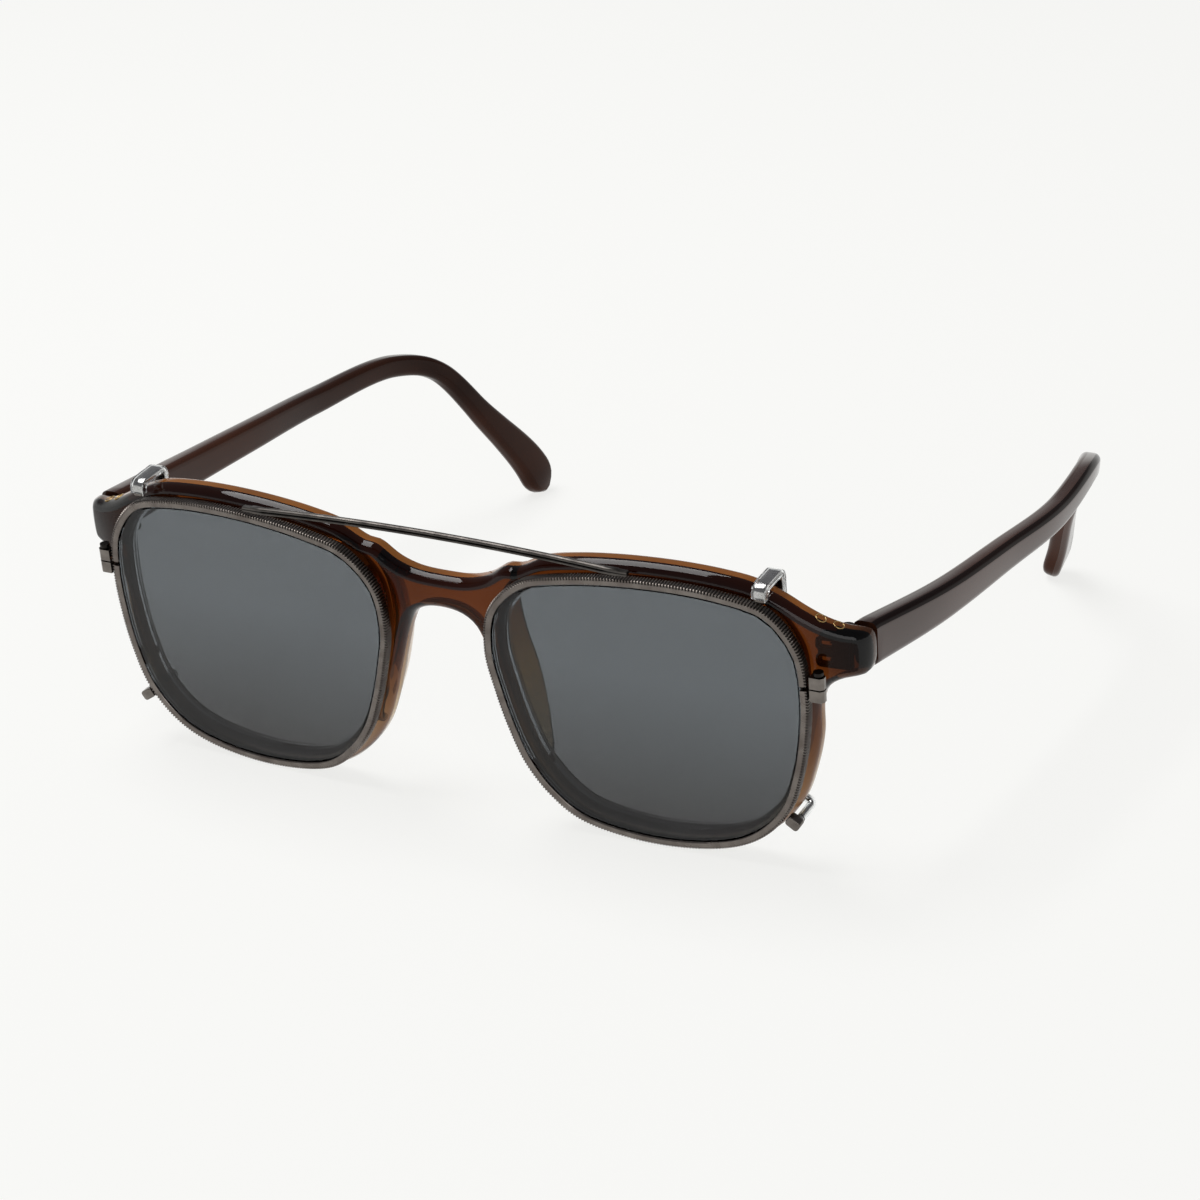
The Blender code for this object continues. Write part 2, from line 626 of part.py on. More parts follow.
def temple(parent):
    line = temple_line(TEMPLE_STATIONS)
    length = sum((b - a).length for a, b in zip(line, line[1:]))
    mesh = bmesh.new()
    loops = []
    for i in range(TEMPLE_STATIONS):
        share = i / (TEMPLE_STATIONS - 1)
        side_axis, up_axis, _ = path_frame(line, i)
        if i == 0:
            side_axis, up_axis = Vector((1, 0, 0)), Vector((0, 0, 1))
        thick, height = temple_section(share)
        left = (1.0 - share) * length
        taper = math.sqrt(max(0.09, 1.0 - (1.0 - min(1.0, left / TEMPLE_TIP_ROUND)) ** 2))
        half_w = thick / 2 * (0.6 + 0.4 * taper)
        half_h = height / 2 * taper
        edge = min(TEMPLE_EDGE_ROUND, 0.7 * half_w, 0.7 * half_h)
        ring = []
        for quarter in range(4):
            corner_x = (half_w - edge) * (1 if quarter in (0, 3) else -1)
            corner_z = (half_h - edge) * (1 if quarter in (0, 1) else -1)
            for turn in (0, 45, 90):
                angle = math.radians(90 * quarter + turn)
                ring.append(line[i] + side_axis * (corner_x + edge * math.cos(angle))
                            + up_axis * (corner_z + edge * math.sin(angle)))
        loops.append(add_loop(mesh, ring))
    for loop_a, loop_b in zip(loops, loops[1:]):
        bridge(mesh, loop_a, loop_b)
    mesh.faces.new(loops[-1])
    bore = CORE_DIAMETER / 2 + SEAT_GAP
    bore_loops = []
    for i in range(int(CORE_REACH * TEMPLE_STATIONS) + 1):
        side_axis, up_axis, _ = path_frame(line, i)
        if i == 0:
            side_axis, up_axis = Vector((1, 0, 0)), Vector((0, 0, 1))
        ring = circle((0.0, 0.0), bore, 8)
        bore_loops.append(add_loop(mesh, [line[i] + side_axis * a + up_axis * b for a, b in ring]))
    for loop_a, loop_b in zip(bore_loops, bore_loops[1:]):
        bridge(mesh, loop_a, loop_b)
    mesh.faces.new(bore_loops[-1])
    cap(mesh, loops[0], [bore_loops[0]])
    arm = make_object("temple_left", mesh, parent, (DARK_BROWN, 0.12, 0.0, 0.2))
    combine(arm, temple_shoe(SEAT_GAP), parent, "DIFFERENCE")
    return arm


def temple_shoe(gap):
    """The hinge shoe let into the temple's inner face, or its pocket."""
    line = temple_line(TEMPLE_STATIONS)
    side_axis, up_axis, forward = path_frame(line, 1)
    start = line[0] + forward * (KNUCKLE_RADIUS + SEAT_GAP)
    axes = Matrix((side_axis, forward, up_axis)).transposed().to_4x4()
    inner = -TEMPLE_THICK / 2
    half_height = TEMPLE_SHOE_HEIGHT / 2 + gap
    proud = 0.15 if not gap else 2.0
    return box((inner - proud, -gap - KNUCKLE_RADIUS / 2, -half_height),
               (inner + TEMPLE_SHOE_THICK - 0.15 + gap, TEMPLE_SHOE_LENGTH + gap, half_height),
               Matrix.Translation(start) @ axes)


def temple_hinge(parent):
    hinge = make_object("temple_hinge_left", temple_shoe(0.0), parent, (STEEL, 0.3, 1.0))
    web_x = END_X - TEMPLE_THICK + TEMPLE_SHOE_THICK / 4
    combine(hinge, knuckle(*knuckle_levels()[1], web_x, HINGE_Y + 0.4), parent, "UNION")
    return hinge


def temple_core(parent):
    line = temple_line(TEMPLE_STATIONS)
    last = int(CORE_REACH * TEMPLE_STATIONS)
    path = line[:last]
    path[0] = path[0].lerp(path[1], SEAT_GAP / (path[1] - path[0]).length)
    return make_object("temple_core_left", tube(path, CORE_DIAMETER / 2, sides=6), parent,
                       (STEEL, 0.3, 1.0))


# ---------------------------------------------------------------- clip-on

def clip_rim(parent):
    """A grooved metal rim, split where the lock closes it."""
    fine = 720
    outline = lens_outline(0.0, fine)
    normals = outward_normals(outline)
    temporal = [k for k in range(fine) if outline[k][0] > LENS_CENTRE]
    start = min(temporal, key=lambda k: abs(outline[k][1] - LOCK_Z))
    path = np.roll(np.hstack([outline, normals]), -start, axis=0)
    picks = np.linspace(1, fine - 2, RIM_STATIONS + 1).round().astype(int)
    middle = CLIP_RIM_DEPTH / 2
    half_groove = CLIP_GROOVE_WIDTH / 2
    floor = CLIP_GROOVE_DEPTH - CLIP_RIM_WIDTH
    profile = [(0.0, 0.0), (0.0, CLIP_RIM_DEPTH), (-CLIP_RIM_WIDTH, CLIP_RIM_DEPTH),
               (-CLIP_RIM_WIDTH, middle + half_groove), (floor, middle + half_groove),
               (floor, middle - half_groove), (-CLIP_RIM_WIDTH, middle - half_groove),
               (-CLIP_RIM_WIDTH, 0.0)]
    sections = []
    for k in picks:
        spot, normal = path[k][:2], path[k][2:]
        sections.append([clip_place(*(spot + normal * offset), depth) for offset, depth in profile])
    mesh = loft(sections)
    bmesh.ops.triangulate(mesh, faces=[face for face in mesh.faces if len(face.verts) > 4])
    return make_object("clip_rim_left", mesh, parent, (GUNMETAL, 0.35, 1.0))


def brow_bar(parent):
    """The double-line bar across the top of both rims."""
    foot_scale = 1.2
    top = LENS_BOX_HEIGHT / 2 + SEAT_GAP + BAR_HEIGHT * foot_scale / 2
    front = clip_place(BAR_HALF_LENGTH, 0.0, 0.0).y
    plain = BAR_HALF_LENGTH - BAR_STEP_LENGTH
    stations = [(-BAR_HALF_LENGTH, foot_scale), (-plain, foot_scale)]
    steps = 14
    stations += [(-plain + 2 * plain * i / steps, 1.0) for i in range(steps + 1)]
    stations += [(plain, foot_scale), (BAR_HALF_LENGTH, foot_scale)]
    half, deep = BAR_HEIGHT / 2, BAR_DEPTH / 2
    profile = [(-deep, -half), (-deep, -BAR_GROOVE), (-deep + BAR_GROOVE, 0.0),
               (-deep, BAR_GROOVE), (-deep, half), (deep, half), (deep, -half)]
    sections = []
    for x, scale in stations:
        z = top + BAR_ARCH * max(0.0, 1.0 - (x / plain) ** 2)
        nudge = 0.02 if abs(abs(x) - plain) < 1e-6 and scale > 1.0 else 0.0
        x += math.copysign(nudge, x)
        sections.append([Vector((x, front + deep + y * scale, z + h * scale)) for y, h in profile])
    mesh = loft(sections)
    bmesh.ops.triangulate(mesh, faces=[face for face in mesh.faces if len(face.verts) > 4])
    return make_object("brow_bar", mesh, parent, (GUNMETAL, 0.35, 1.0))


def lock_outline():
    """A block's plan: flat against the rim and rounded outside."""
    outline = lens_outline(0.0, 360)
    near = [p for p in outline if p[0] > LENS_CENTRE and abs(p[1] - LOCK_Z) < LOCK_HEIGHT + 1.0]
    start_x = max(p[0] for p in near) + SEAT_GAP
    front = clip_place(start_x, 0.0, (CLIP_RIM_DEPTH - LOCK_DEPTH) / 2).y
    end_x = start_x + LOCK_WIDTH
    back = front + LOCK_DEPTH
    edge = 0.5
    plan = [(start_x, front), (end_x - edge, front), (end_x, front + edge),
            (end_x, back - edge), (end_x - edge, back), (start_x, back)]
    return plan, ((start_x + end_x) / 2 + 0.1, (front + back) / 2)


def rim_lock(parent):
    """The two blocks that close the split rim, and their screw."""
    plan, centre = lock_outline()
    gap = SEAT_GAP / 2
    hole = circle(centre, LOCK_SCREW_RADIUS + 0.1, 12)
    look = (GUNMETAL, 0.35, 1.0)
    upper = prism(plan, hole, LOCK_Z + gap, LOCK_Z + gap + LOCK_HEIGHT)
    lower = prism(plan, hole, LOCK_Z - gap - LOCK_HEIGHT, LOCK_Z - gap)
    length = 2 * (LOCK_HEIGHT + gap) + SEAT_GAP
    profile = [(LOCK_SCREW_RADIUS, 0.0), (LOCK_SCREW_RADIUS, length),
               (LOCK_HEAD_RADIUS, length), (LOCK_HEAD_RADIUS, length + LOCK_HEAD_HEIGHT)]
    screw = turned(profile, (*centre, LOCK_Z - gap - LOCK_HEIGHT), 12)
    return [make_object("rim_lock_upper_left", upper, parent, look),
            make_object("rim_lock_lower_left", lower, parent, look),
            make_object("rim_lock_screw_left", screw, parent, (SILVER, 0.25, 1.0))]


def hook_path():
    """The upper hook's centre line in Y and Z: up, over the front and down behind it."""
    outline = lens_outline(0.0, 360)
    half_width = HOOK_WIDTH / 2 + SLEEVE_GAP + SLEEVE_WALL + SEAT_GAP
    near = [p for p in outline if p[1] > 0 and abs(p[0] - HOOK_X) < half_width]
    outer_z = max(p[1] for p in near)
    acetate_z = max(p[1] for p in lens_outline(COVER_BROW + 0.1, 360)
                    if p[1] > 0 and abs(p[0] - HOOK_X) < half_width)
    stand_off = HOOK_THICK / 2 + SLEEVE_GAP + SLEEVE_WALL
    front = clip_place(HOOK_X, 0.0, CLIP_RIM_DEPTH / 2).y
    back = front_place(HOOK_X + HOOK_WIDTH, 0.0, FRONT_THICK).y + SEAT_GAP + stand_off
    high = acetate_z + SEAT_GAP + stand_off
    turn = 1.1
    corners = [(front, outer_z + SEAT_GAP), (front, high - turn)]
    corners += [(front + turn * (1 - math.cos(a)), high - turn + turn * math.sin(a))
                for a in (math.radians(30), math.radians(60), math.radians(90))]
    corners += [(back - turn, high)]
    corners += [(back - turn + turn * math.sin(a), high - turn + turn * math.cos(a))
                for a in (math.radians(30), math.radians(60), math.radians(90))]
    corners.append((back, high - turn - HOOK_DROP))
    return [Vector((HOOK_X, y, z)) for y, z in corners]


def strip(path, width, thick, hole_width=0.0, hole_thick=0.0):
    """A flat strip along a path in one X plane, or a flat sleeve with a slot through it."""
    mesh = bmesh.new()
    skins = []
    sizes = [(width, thick)] + ([(hole_width, hole_thick)] if hole_width else [])
    for wide, deep in sizes:
        loops = []
        for i, centre in enumerate(path):
            _, up_axis, _ = path_frame(path, i)
            spread = 1.0 / math.cos(bend_angle(path, i) / 2)
            rise = up_axis * deep / 2 * spread
            run = Vector((wide / 2, 0, 0))
            loops.append(add_loop(mesh, [centre + run + rise, centre - run + rise,
                                         centre - run - rise, centre + run - rise]))
        for loop_a, loop_b in zip(loops, loops[1:]):
            bridge(mesh, loop_a, loop_b)
        skins.append(loops)
    for end in (0, -1):
        if hole_width:
            bridge(mesh, skins[0][end], skins[1][end])
        else:
            mesh.faces.new(skins[0][end])
    return mesh


def bend_angle(path, i):
    """How far a path turns at one of its points."""
    if i in (0, len(path) - 1):
        return 0.0
    return (path[i] - path[i - 1]).angle(path[i + 1] - path[i])


def upper_hook(parent):
    """The strip over the top of the front, and its clear sleeve."""
    path = hook_path()
    slot_width = HOOK_WIDTH + 2 * SLEEVE_GAP
    slot_thick = HOOK_THICK + 2 * SLEEVE_GAP
    covered = [path[0].lerp(path[1], 0.5), *path[1:]]
    sleeve = strip(covered, slot_width + 2 * SLEEVE_WALL, slot_thick + 2 * SLEEVE_WALL,
                   slot_width, slot_thick)
    hook = strip(path, HOOK_WIDTH, HOOK_THICK)
    return [make_object("upper_hook_left", hook, parent, (SILVER, 0.15, 1.0)),
            make_object("upper_hook_sleeve_left", sleeve, parent, (CLEAR, 0.1, 0.0, 0.9))]


def lower_hook(parent):
    """A block on the rim's outer edge, and the sleeved wire that runs back under the front."""
    on_rim = at_angle(0.0, LOWER_ANGLE)
    outward = at_angle(1.0, LOWER_ANGLE) - on_rim
    outward = outward / np.linalg.norm(outward)
    out = Vector((outward[0], 0, outward[1]))
    axes = Matrix((out, Vector((0, 1, 0)), Vector((-out.z, 0, out.x)))).transposed().to_4x4()
    front = clip_place(*on_rim, 0.0)
    half = LOWER_BLOCK / 2
    margin = 0.05
    block = box((SEAT_GAP, margin, -half), (LOWER_OFFSET + half, CLIP_RIM_DEPTH - margin, half),
                Matrix.Translation(front) @ axes)
    along = on_rim + outward * LOWER_OFFSET
    start = Vector((along[0], front.y + CLIP_RIM_DEPTH - margin + SEAT_GAP, along[1]))
    back = front_place(along[0], 0.0, FRONT_THICK).y + SEAT_GAP + ARM_SLEEVE_RADIUS
    corner = Vector((along[0], back, along[1]))
    turn = 1.0
    bend_start = corner - Vector((0, turn, 0))
    path = [start, start.lerp(corner, 0.5), bend_start]
    for angle in (30, 60, 90):
        a = math.radians(angle)
        path.append(bend_start - out * turn * (1 - math.cos(a)) + Vector((0, turn * math.sin(a), 0)))
    path.append(path[-1] - out * (ARM_TIP - turn))
    covered = [path[0].lerp(path[1], 0.12), *path[1:]]
    sleeve = tube(covered, ARM_SLEEVE_RADIUS, ARM_RADIUS + SLEEVE_GAP)
    return [make_object("lower_hook_block_left", block, parent, (GUNMETAL, 0.35, 1.0)),
            make_object("lower_hook_left", tube(path, ARM_RADIUS), parent, (SILVER, 0.15, 1.0)),
            make_object("lower_hook_sleeve_left", sleeve, parent, (CLEAR, 0.1, 0.0, 0.9))]


# ---------------------------------------------------------------- assembly

def stand_up(stand):
    """Tip the object onto its rims and temple tips, and set it on Z = 0, centred."""
    bpy.context.view_layer.update()
    points = []
    for obj in bpy.context.scene.objects:
        if obj.type == "MESH":
            points += [obj.matrix_world @ vertex.co for vertex in obj.data.vertices]
    middle_y = (JOINT_Y + TEMPLE_REACH / 2) * MM
    tilt = 0.0
    for _ in range(8):
        turn = Matrix.Rotation(tilt, 3, "X")
        turned_points = [turn @ point for point in points]
        front = min((p for p, q in zip(turned_points, points) if q.y < middle_y), key=lambda p: p.z)
        back = min((p for p, q in zip(turned_points, points) if q.y > middle_y), key=lambda p: p.z)
        tilt += math.atan2(front.z - back.z, back.y - front.y)
    turned_points = [Matrix.Rotation(tilt, 3, "X") @ point for point in points]
    low = min(p.z for p in turned_points)
    depth = [p.y for p in turned_points]
    stand["empty"].rotation_euler = (tilt, 0.0, 0.0)
    stand["empty"].location = (0.0, -(min(depth) + max(depth)) / 2, -low)
    bpy.context.view_layer.update()


def build():
    clear_scene()
    stand = make_empty("stand", (0, 0, 0))
    clip = make_empty("clip", (0, 0, 0), stand)
    axis_left = make_empty("temple_axis_left", (HINGE_X, HINGE_Y, END_MIDDLE), stand)
    axis_right = make_empty("temple_axis_right", (-HINGE_X, HINGE_Y, END_MIDDLE), stand)
    front_frame(stand)
    brow_bar(clip)
    eye_lens = lens(stand, "lens_left", -EYE_INSET, LENS_GROOVE_DEPTH, LENS_GROOVE_WIDTH,
                    FRONT_THICK, LENS_THICK, front_place, (CLEAR, 0.03, 0.0, 1.0))
    for left in (nose_pad(stand), eye_lens, front_hinge(stand), hinge_screw(stand)):
        mirror_object(left, stand)
    for left in (temple(axis_left), temple_hinge(axis_left), temple_core(axis_left)):
        mirror_object(left, axis_right)
    tinted_lens = lens(clip, "clip_lens_left", -CLIP_RIM_WIDTH, CLIP_GROOVE_DEPTH,
                       CLIP_GROOVE_WIDTH, CLIP_RIM_DEPTH, CLIP_LENS_THICK, clip_place,
                       (GREY_LENS, 0.03, 0.0, 0.8))
    for left in (clip_rim(clip), tinted_lens, *rim_lock(clip), *upper_hook(clip), *lower_hook(clip)):
        mirror_object(left, clip)
    stand_up(stand)


build()
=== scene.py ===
"""Looks of the acetate spectacles and their clip-on sunglass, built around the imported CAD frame.

The visible pieces are drawn in the front's own frame, in millimetres: X to the wearer's left,
Y backwards from the clip's front face, Z up from the middle of the lenses. STAND then puts
them where the CAD stands.
"""

import json
import math

import bmesh
import bpy
import numpy as np
from mathutils import Matrix, Vector
from mathutils.geometry import delaunay_2d_cdt


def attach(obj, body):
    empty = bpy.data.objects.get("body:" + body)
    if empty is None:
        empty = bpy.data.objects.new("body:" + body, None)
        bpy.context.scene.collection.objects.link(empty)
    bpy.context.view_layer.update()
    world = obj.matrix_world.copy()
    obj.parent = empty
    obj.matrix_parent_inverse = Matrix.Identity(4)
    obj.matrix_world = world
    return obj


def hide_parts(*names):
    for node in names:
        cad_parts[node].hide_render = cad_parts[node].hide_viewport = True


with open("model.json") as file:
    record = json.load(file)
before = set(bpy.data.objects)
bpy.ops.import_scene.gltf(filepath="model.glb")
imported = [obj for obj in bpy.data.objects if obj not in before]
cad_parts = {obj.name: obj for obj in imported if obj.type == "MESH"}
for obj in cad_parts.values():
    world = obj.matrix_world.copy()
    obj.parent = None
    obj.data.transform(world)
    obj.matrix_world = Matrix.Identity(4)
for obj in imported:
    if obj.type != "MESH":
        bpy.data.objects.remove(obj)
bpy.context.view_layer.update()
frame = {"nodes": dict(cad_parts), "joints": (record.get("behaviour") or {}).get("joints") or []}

MM = 0.001

# Sizes shared with the CAD, in millimetres
LENS_BOX_WIDTH = 52.0
LENS_BOX_HEIGHT = 45.4
LENS_GAP = 16.9
FRONT_WIDTH = 135.4
TEMPLE_REACH = 119.2
TEMPLE_DROP = 50.2
TEMPLE_BOW = 4.5
TEMPLE_TOE_IN = 13.4
WRAP_ANGLE = math.radians(3.0)
SEAT_GAP = 0.25
CLIP_RIM_WIDTH = 1.25
CLIP_RIM_DEPTH = 1.8
CLIP_GROOVE_DEPTH = 0.6
CLIP_GROOVE_WIDTH = 1.1
FACE_GAP = 0.3
FRONT_THICK = 3.8
LENS_THICK = 1.8
END_THICK = 3.4
END_BEND = 2.6
END_BEND_FROM = 57.0
COVER_SIDE = 0.6
COVER_NOSE = 1.0
COVER_BROW = 1.35
EYE_INSET = 2.2
BRIDGE_TOP = 16.4
BRIDGE_BOTTOM = 11.0
END_TOP = 16.2
END_BOTTOM = 8.9
END_ROUND = 1.5
PAD_HEIGHT = 4.4
PAD_WIDTH = 2.6
PAD_TILT = 1.4
PAD_FROM = 143.0
PAD_TO = 214.0
TEMPLE_THICK = 3.8
TEMPLE_TIP_THICK = 3.4
TEMPLE_HEIGHT = 7.2
TEMPLE_TIP_ROUND = 4.5
KNUCKLE_RADIUS = 1.25
BAR_HALF_LENGTH = 33.0
BAR_HEIGHT = 1.2
BAR_DEPTH = 1.0
BAR_ARCH = 0.9
BAR_STEP_LENGTH = 3.8
LOCK_Z = 8.8
HOOK_X = 53.4
HOOK_WIDTH = 2.2
HOOK_THICK = 0.4
HOOK_DROP = 2.6
SLEEVE_WALL = 0.4
SLEEVE_GAP = 0.1
LOWER_ANGLE = 327.0
LOWER_BLOCK = 1.9
LOWER_OFFSET = 1.75
ARM_RADIUS = 0.4
ARM_TIP = 2.4
ARM_SLEEVE_RADIUS = 0.75

LENS_SHAPE = [
    (0.985, 0.0), (1.0, 0.307), (0.96, 0.635), (0.781, 0.895), (0.493, 0.98),
    (0.0, 1.0), (-0.478, 0.946), (-0.754, 0.861), (-0.953, 0.629), (-1.0, 0.306),
    (-0.953, 0.0), (-0.888, -0.272), (-0.799, -0.528), (-0.656, -0.749),
    (-0.461, -0.912), (0.0, -1.0), (0.469, -0.932), (0.694, -0.796),
    (0.858, -0.568), (0.941, -0.289),
]
TEMPLE_LINE = [
    (0.0, 0.0, 0.0, 0.0), (0.189, 0.085, 0.555, 0.0), (0.392, 0.163, 0.826, 0.0),
    (0.579, 0.233, 1.0, 0.0), (0.782, 0.298, 0.436, 0.0), (0.863, 0.393, 0.0, 0.114),
    (0.917, 0.623, 0.0, 0.541), (0.982, 0.868, 0.0, 0.852), (1.0, 1.0, 0.0, 1.0),
]
TEMPLE_HEIGHTS = [
    (0.0, 1.0), (0.2, 0.82), (0.4, 0.69), (0.6, 0.58), (0.74, 0.52), (0.82, 0.60),
    (0.88, 0.76), (0.93, 0.93), (0.97, 1.08), (1.0, 1.15),
]

LENS_CENTRE = (LENS_GAP + LENS_BOX_WIDTH) / 2
CURVE = math.tan(WRAP_ANGLE) / (2 * LENS_CENTRE)
FACE = CLIP_RIM_DEPTH + FACE_GAP
END_X = FRONT_WIDTH / 2
JOINT_Y = FACE + CURVE * END_X ** 2 + END_BEND + END_THICK + SEAT_GAP
HINGE_X = END_X - TEMPLE_THICK - KNUCKLE_RADIUS - SEAT_GAP
HINGE_Y = JOINT_Y + KNUCKLE_RADIUS + SEAT_GAP
END_MIDDLE = (END_TOP + END_BOTTOM) / 2

# Details drawn only here, in millimetres
FRONT_POINTS = 420
EYE_POINTS = 200
LENS_EDGE_GAP = 0.08
RIM_TEETH = 330
POINTS_PER_TOOTH = 4
TOOTH_CUT = 0.16
ANCHOR_DEPTHS = (1.5, 0.3)
ANCHOR_WINDOW = (2.0, 1.15, 0.2)
WINDOW_LEVELS = (-1.3, 1.3)
KNUCKLE_LEVELS = ((-2.65, -1.15), (1.15, 1.45))
PIN_BELOW = 2.75
PIN_ABOVE = 1.55
RIVETS = ((60.85, 7.3), (63.3, 8.1))
RIVET_RADIUS = 0.8
RIVET_WIRE = 0.09
RIVET_PROUD = 0.01
RIVET_REACH = 0.6
HOOK_TURN = 1.1
HOOK_SLEEVE_WALL = 0.28
HOOK_ROOT = (1.5, 0.95, 0.2)
LOWER_MARGIN = 0.05
LOWER_TURN = 1.0
LOWER_SLEEVE_RADIUS = 0.7

# Looks, in metres and linear colour
ACETATE_HEIGHT = 0.048
ENDS_DARK_FROM = 0.0585
ENDS_DARK_TO = 0.0665
ACETATE_ABSORPTION = 60.0
ACETATE_TINT = (0.70, 0.55, 0.45, 1.0)
METAL_GRAIN = 400.0
POLISH_SCALE = 260.0
TEMPLE_IOR = 1.49
BACKDROP = (0.94, 0.94, 0.92)
UPPER_SKY = (0.22, 0.22, 0.23)
TOP_SKY = (0.16, 0.16, 0.17)
FLOOR_PAINT = (0.92, 0.92, 0.90, 1.0)
FLOOR_GLOW = (0.985, 0.985, 0.965)
FLOOR_GLOW_SHARE = 0.8
FLOOR_HALF = 3.0
FLOOR_FADE_FROM = 0.25
FLOOR_FADE_TO = 1.6
LAMPS = (("overhead", (-0.38, 0.0, 0.92), 0.8, 0.45, 6.8),
         ("front_fill", (0.6, -0.9, 0.55), 0.5, 0.5, 1.6))
LAMP_TARGET = (0.0, 0.0, 0.02)
FOCAL_LENGTH = 99.3
CAMERA_PLACE = (0.23209, -0.47032, 0.22561)
CAMERA_RIGHT = (0.894506, 0.446813, -0.014787)
CAMERA_UP = (-0.157060, 0.345052, 0.925350)
CAMERA_BACK = (0.418559, -0.825407, 0.378827)


def stand_matrix():
    """Where the front's frame stands in the world, from the left fold joint."""
    fold = next(joint for joint in frame["joints"] if joint["name"] == "temple_left_fold")
    tilt = math.atan2(-fold["axis"][1], fold["axis"][2])
    turn = Matrix.Rotation(tilt, 4, "X")
    hinge = turn @ (Vector((HINGE_X, HINGE_Y, END_MIDDLE)) * MM)
    return Matrix.Translation(Vector(fold["pos_m"]) - hinge) @ turn @ Matrix.Scale(MM, 4)


STAND = stand_matrix()


# ---------------------------------------------------------------- curves and outlines

def smooth_curve(points, count, closed):
    """Centripetal Catmull-Rom curve through the points, resampled at even steps."""
    line = [np.array(point, float) for point in points]
    if closed:
        line = [line[-1], *line, line[0], line[1]]
    else:
        line = [2 * line[0] - line[1], *line, 2 * line[-1] - line[-2]]
    fine = []
    for p0, p1, p2, p3 in zip(line, line[1:], line[2:], line[3:]):
        t1 = np.linalg.norm(p1 - p0) ** 0.5
        t2 = t1 + np.linalg.norm(p2 - p1) ** 0.5
        t3 = t2 + np.linalg.norm(p3 - p2) ** 0.5
        for t in np.linspace(t1, t2, 24, endpoint=False):
            a1 = ((t1 - t) * p0 + t * p1) / t1
            a2 = ((t2 - t) * p1 + (t - t1) * p2) / (t2 - t1)
            a3 = ((t3 - t) * p2 + (t - t2) * p3) / (t3 - t2)
            b1 = ((t2 - t) * a1 + t * a2) / t2
            b2 = ((t3 - t) * a2 + (t - t1) * a3) / (t3 - t1)
            fine.append(((t2 - t) * b1 + (t - t1) * b2) / (t2 - t1))
    fine.append(line[-2])
    fine = np.array(fine)
    steps = np.linalg.norm(np.diff(fine, axis=0), axis=1)
    along = np.concatenate([[0.0], np.cumsum(steps)])
    wanted = np.linspace(0.0, along[-1], count, endpoint=not closed)
    columns = [np.interp(wanted, along, fine[:, axis]) for axis in range(fine.shape[1])]
    return np.stack(columns, axis=1)


def outward_normals(outline):
    """Unit normals of a closed counter-clockwise outline."""
    tangent = np.roll(outline, -1, axis=0) - np.roll(outline, 1, axis=0)
    normal = np.stack([tangent[:, 1], -tangent[:, 0]], axis=1)
    return normal / np.linalg.norm(normal, axis=1, keepdims=True)


def lens_outline(offset, count):
    """Outline of the left lens grown by an offset, in the front's X and Z."""
    half = np.array([LENS_BOX_WIDTH / 2, LENS_BOX_HEIGHT / 2])
    outline = smooth_curve(np.array(LENS_SHAPE) * half, count, closed=True)
    return outline + outward_normals(outline) * offset + np.array([LENS_CENTRE, 0.0])


def lens_angles(outline):
    """Angle of each outline point about the lens centre, 0 to 360 degrees from temporal."""
    return np.degrees(np.arctan2(outline[:, 1], outline[:, 0] - LENS_CENTRE)) % 360.0


def at_angle(offset, angle):
    outline = lens_outline(offset, 360)
    turn = (lens_angles(outline) - angle + 180.0) % 360.0 - 180.0
    return outline[np.argmin(np.abs(turn))]


def clip_place(x, z, depth):
    """A point of the flat, wrapped clip rim, depth behind its front face."""
    run = x - LENS_CENTRE
    return Vector((x, CURVE * LENS_CENTRE ** 2 + run * math.tan(WRAP_ANGLE) + depth, z))


def front_place(x, z, depth):
    """A point of the curved acetate front, depth behind its face."""
    share = min(1.0, max(0.0, (abs(x) - LENS_CENTRE) / (END_X - LENS_CENTRE)))
    thinning = 1.0 + (END_THICK / FRONT_THICK - 1.0) * share * share
    bent = max(0.0, (abs(x) - END_BEND_FROM) / (END_X - END_BEND_FROM))
    return Vector((x, FACE + CURVE * x * x + END_BEND * bent * bent + depth * thinning, z))


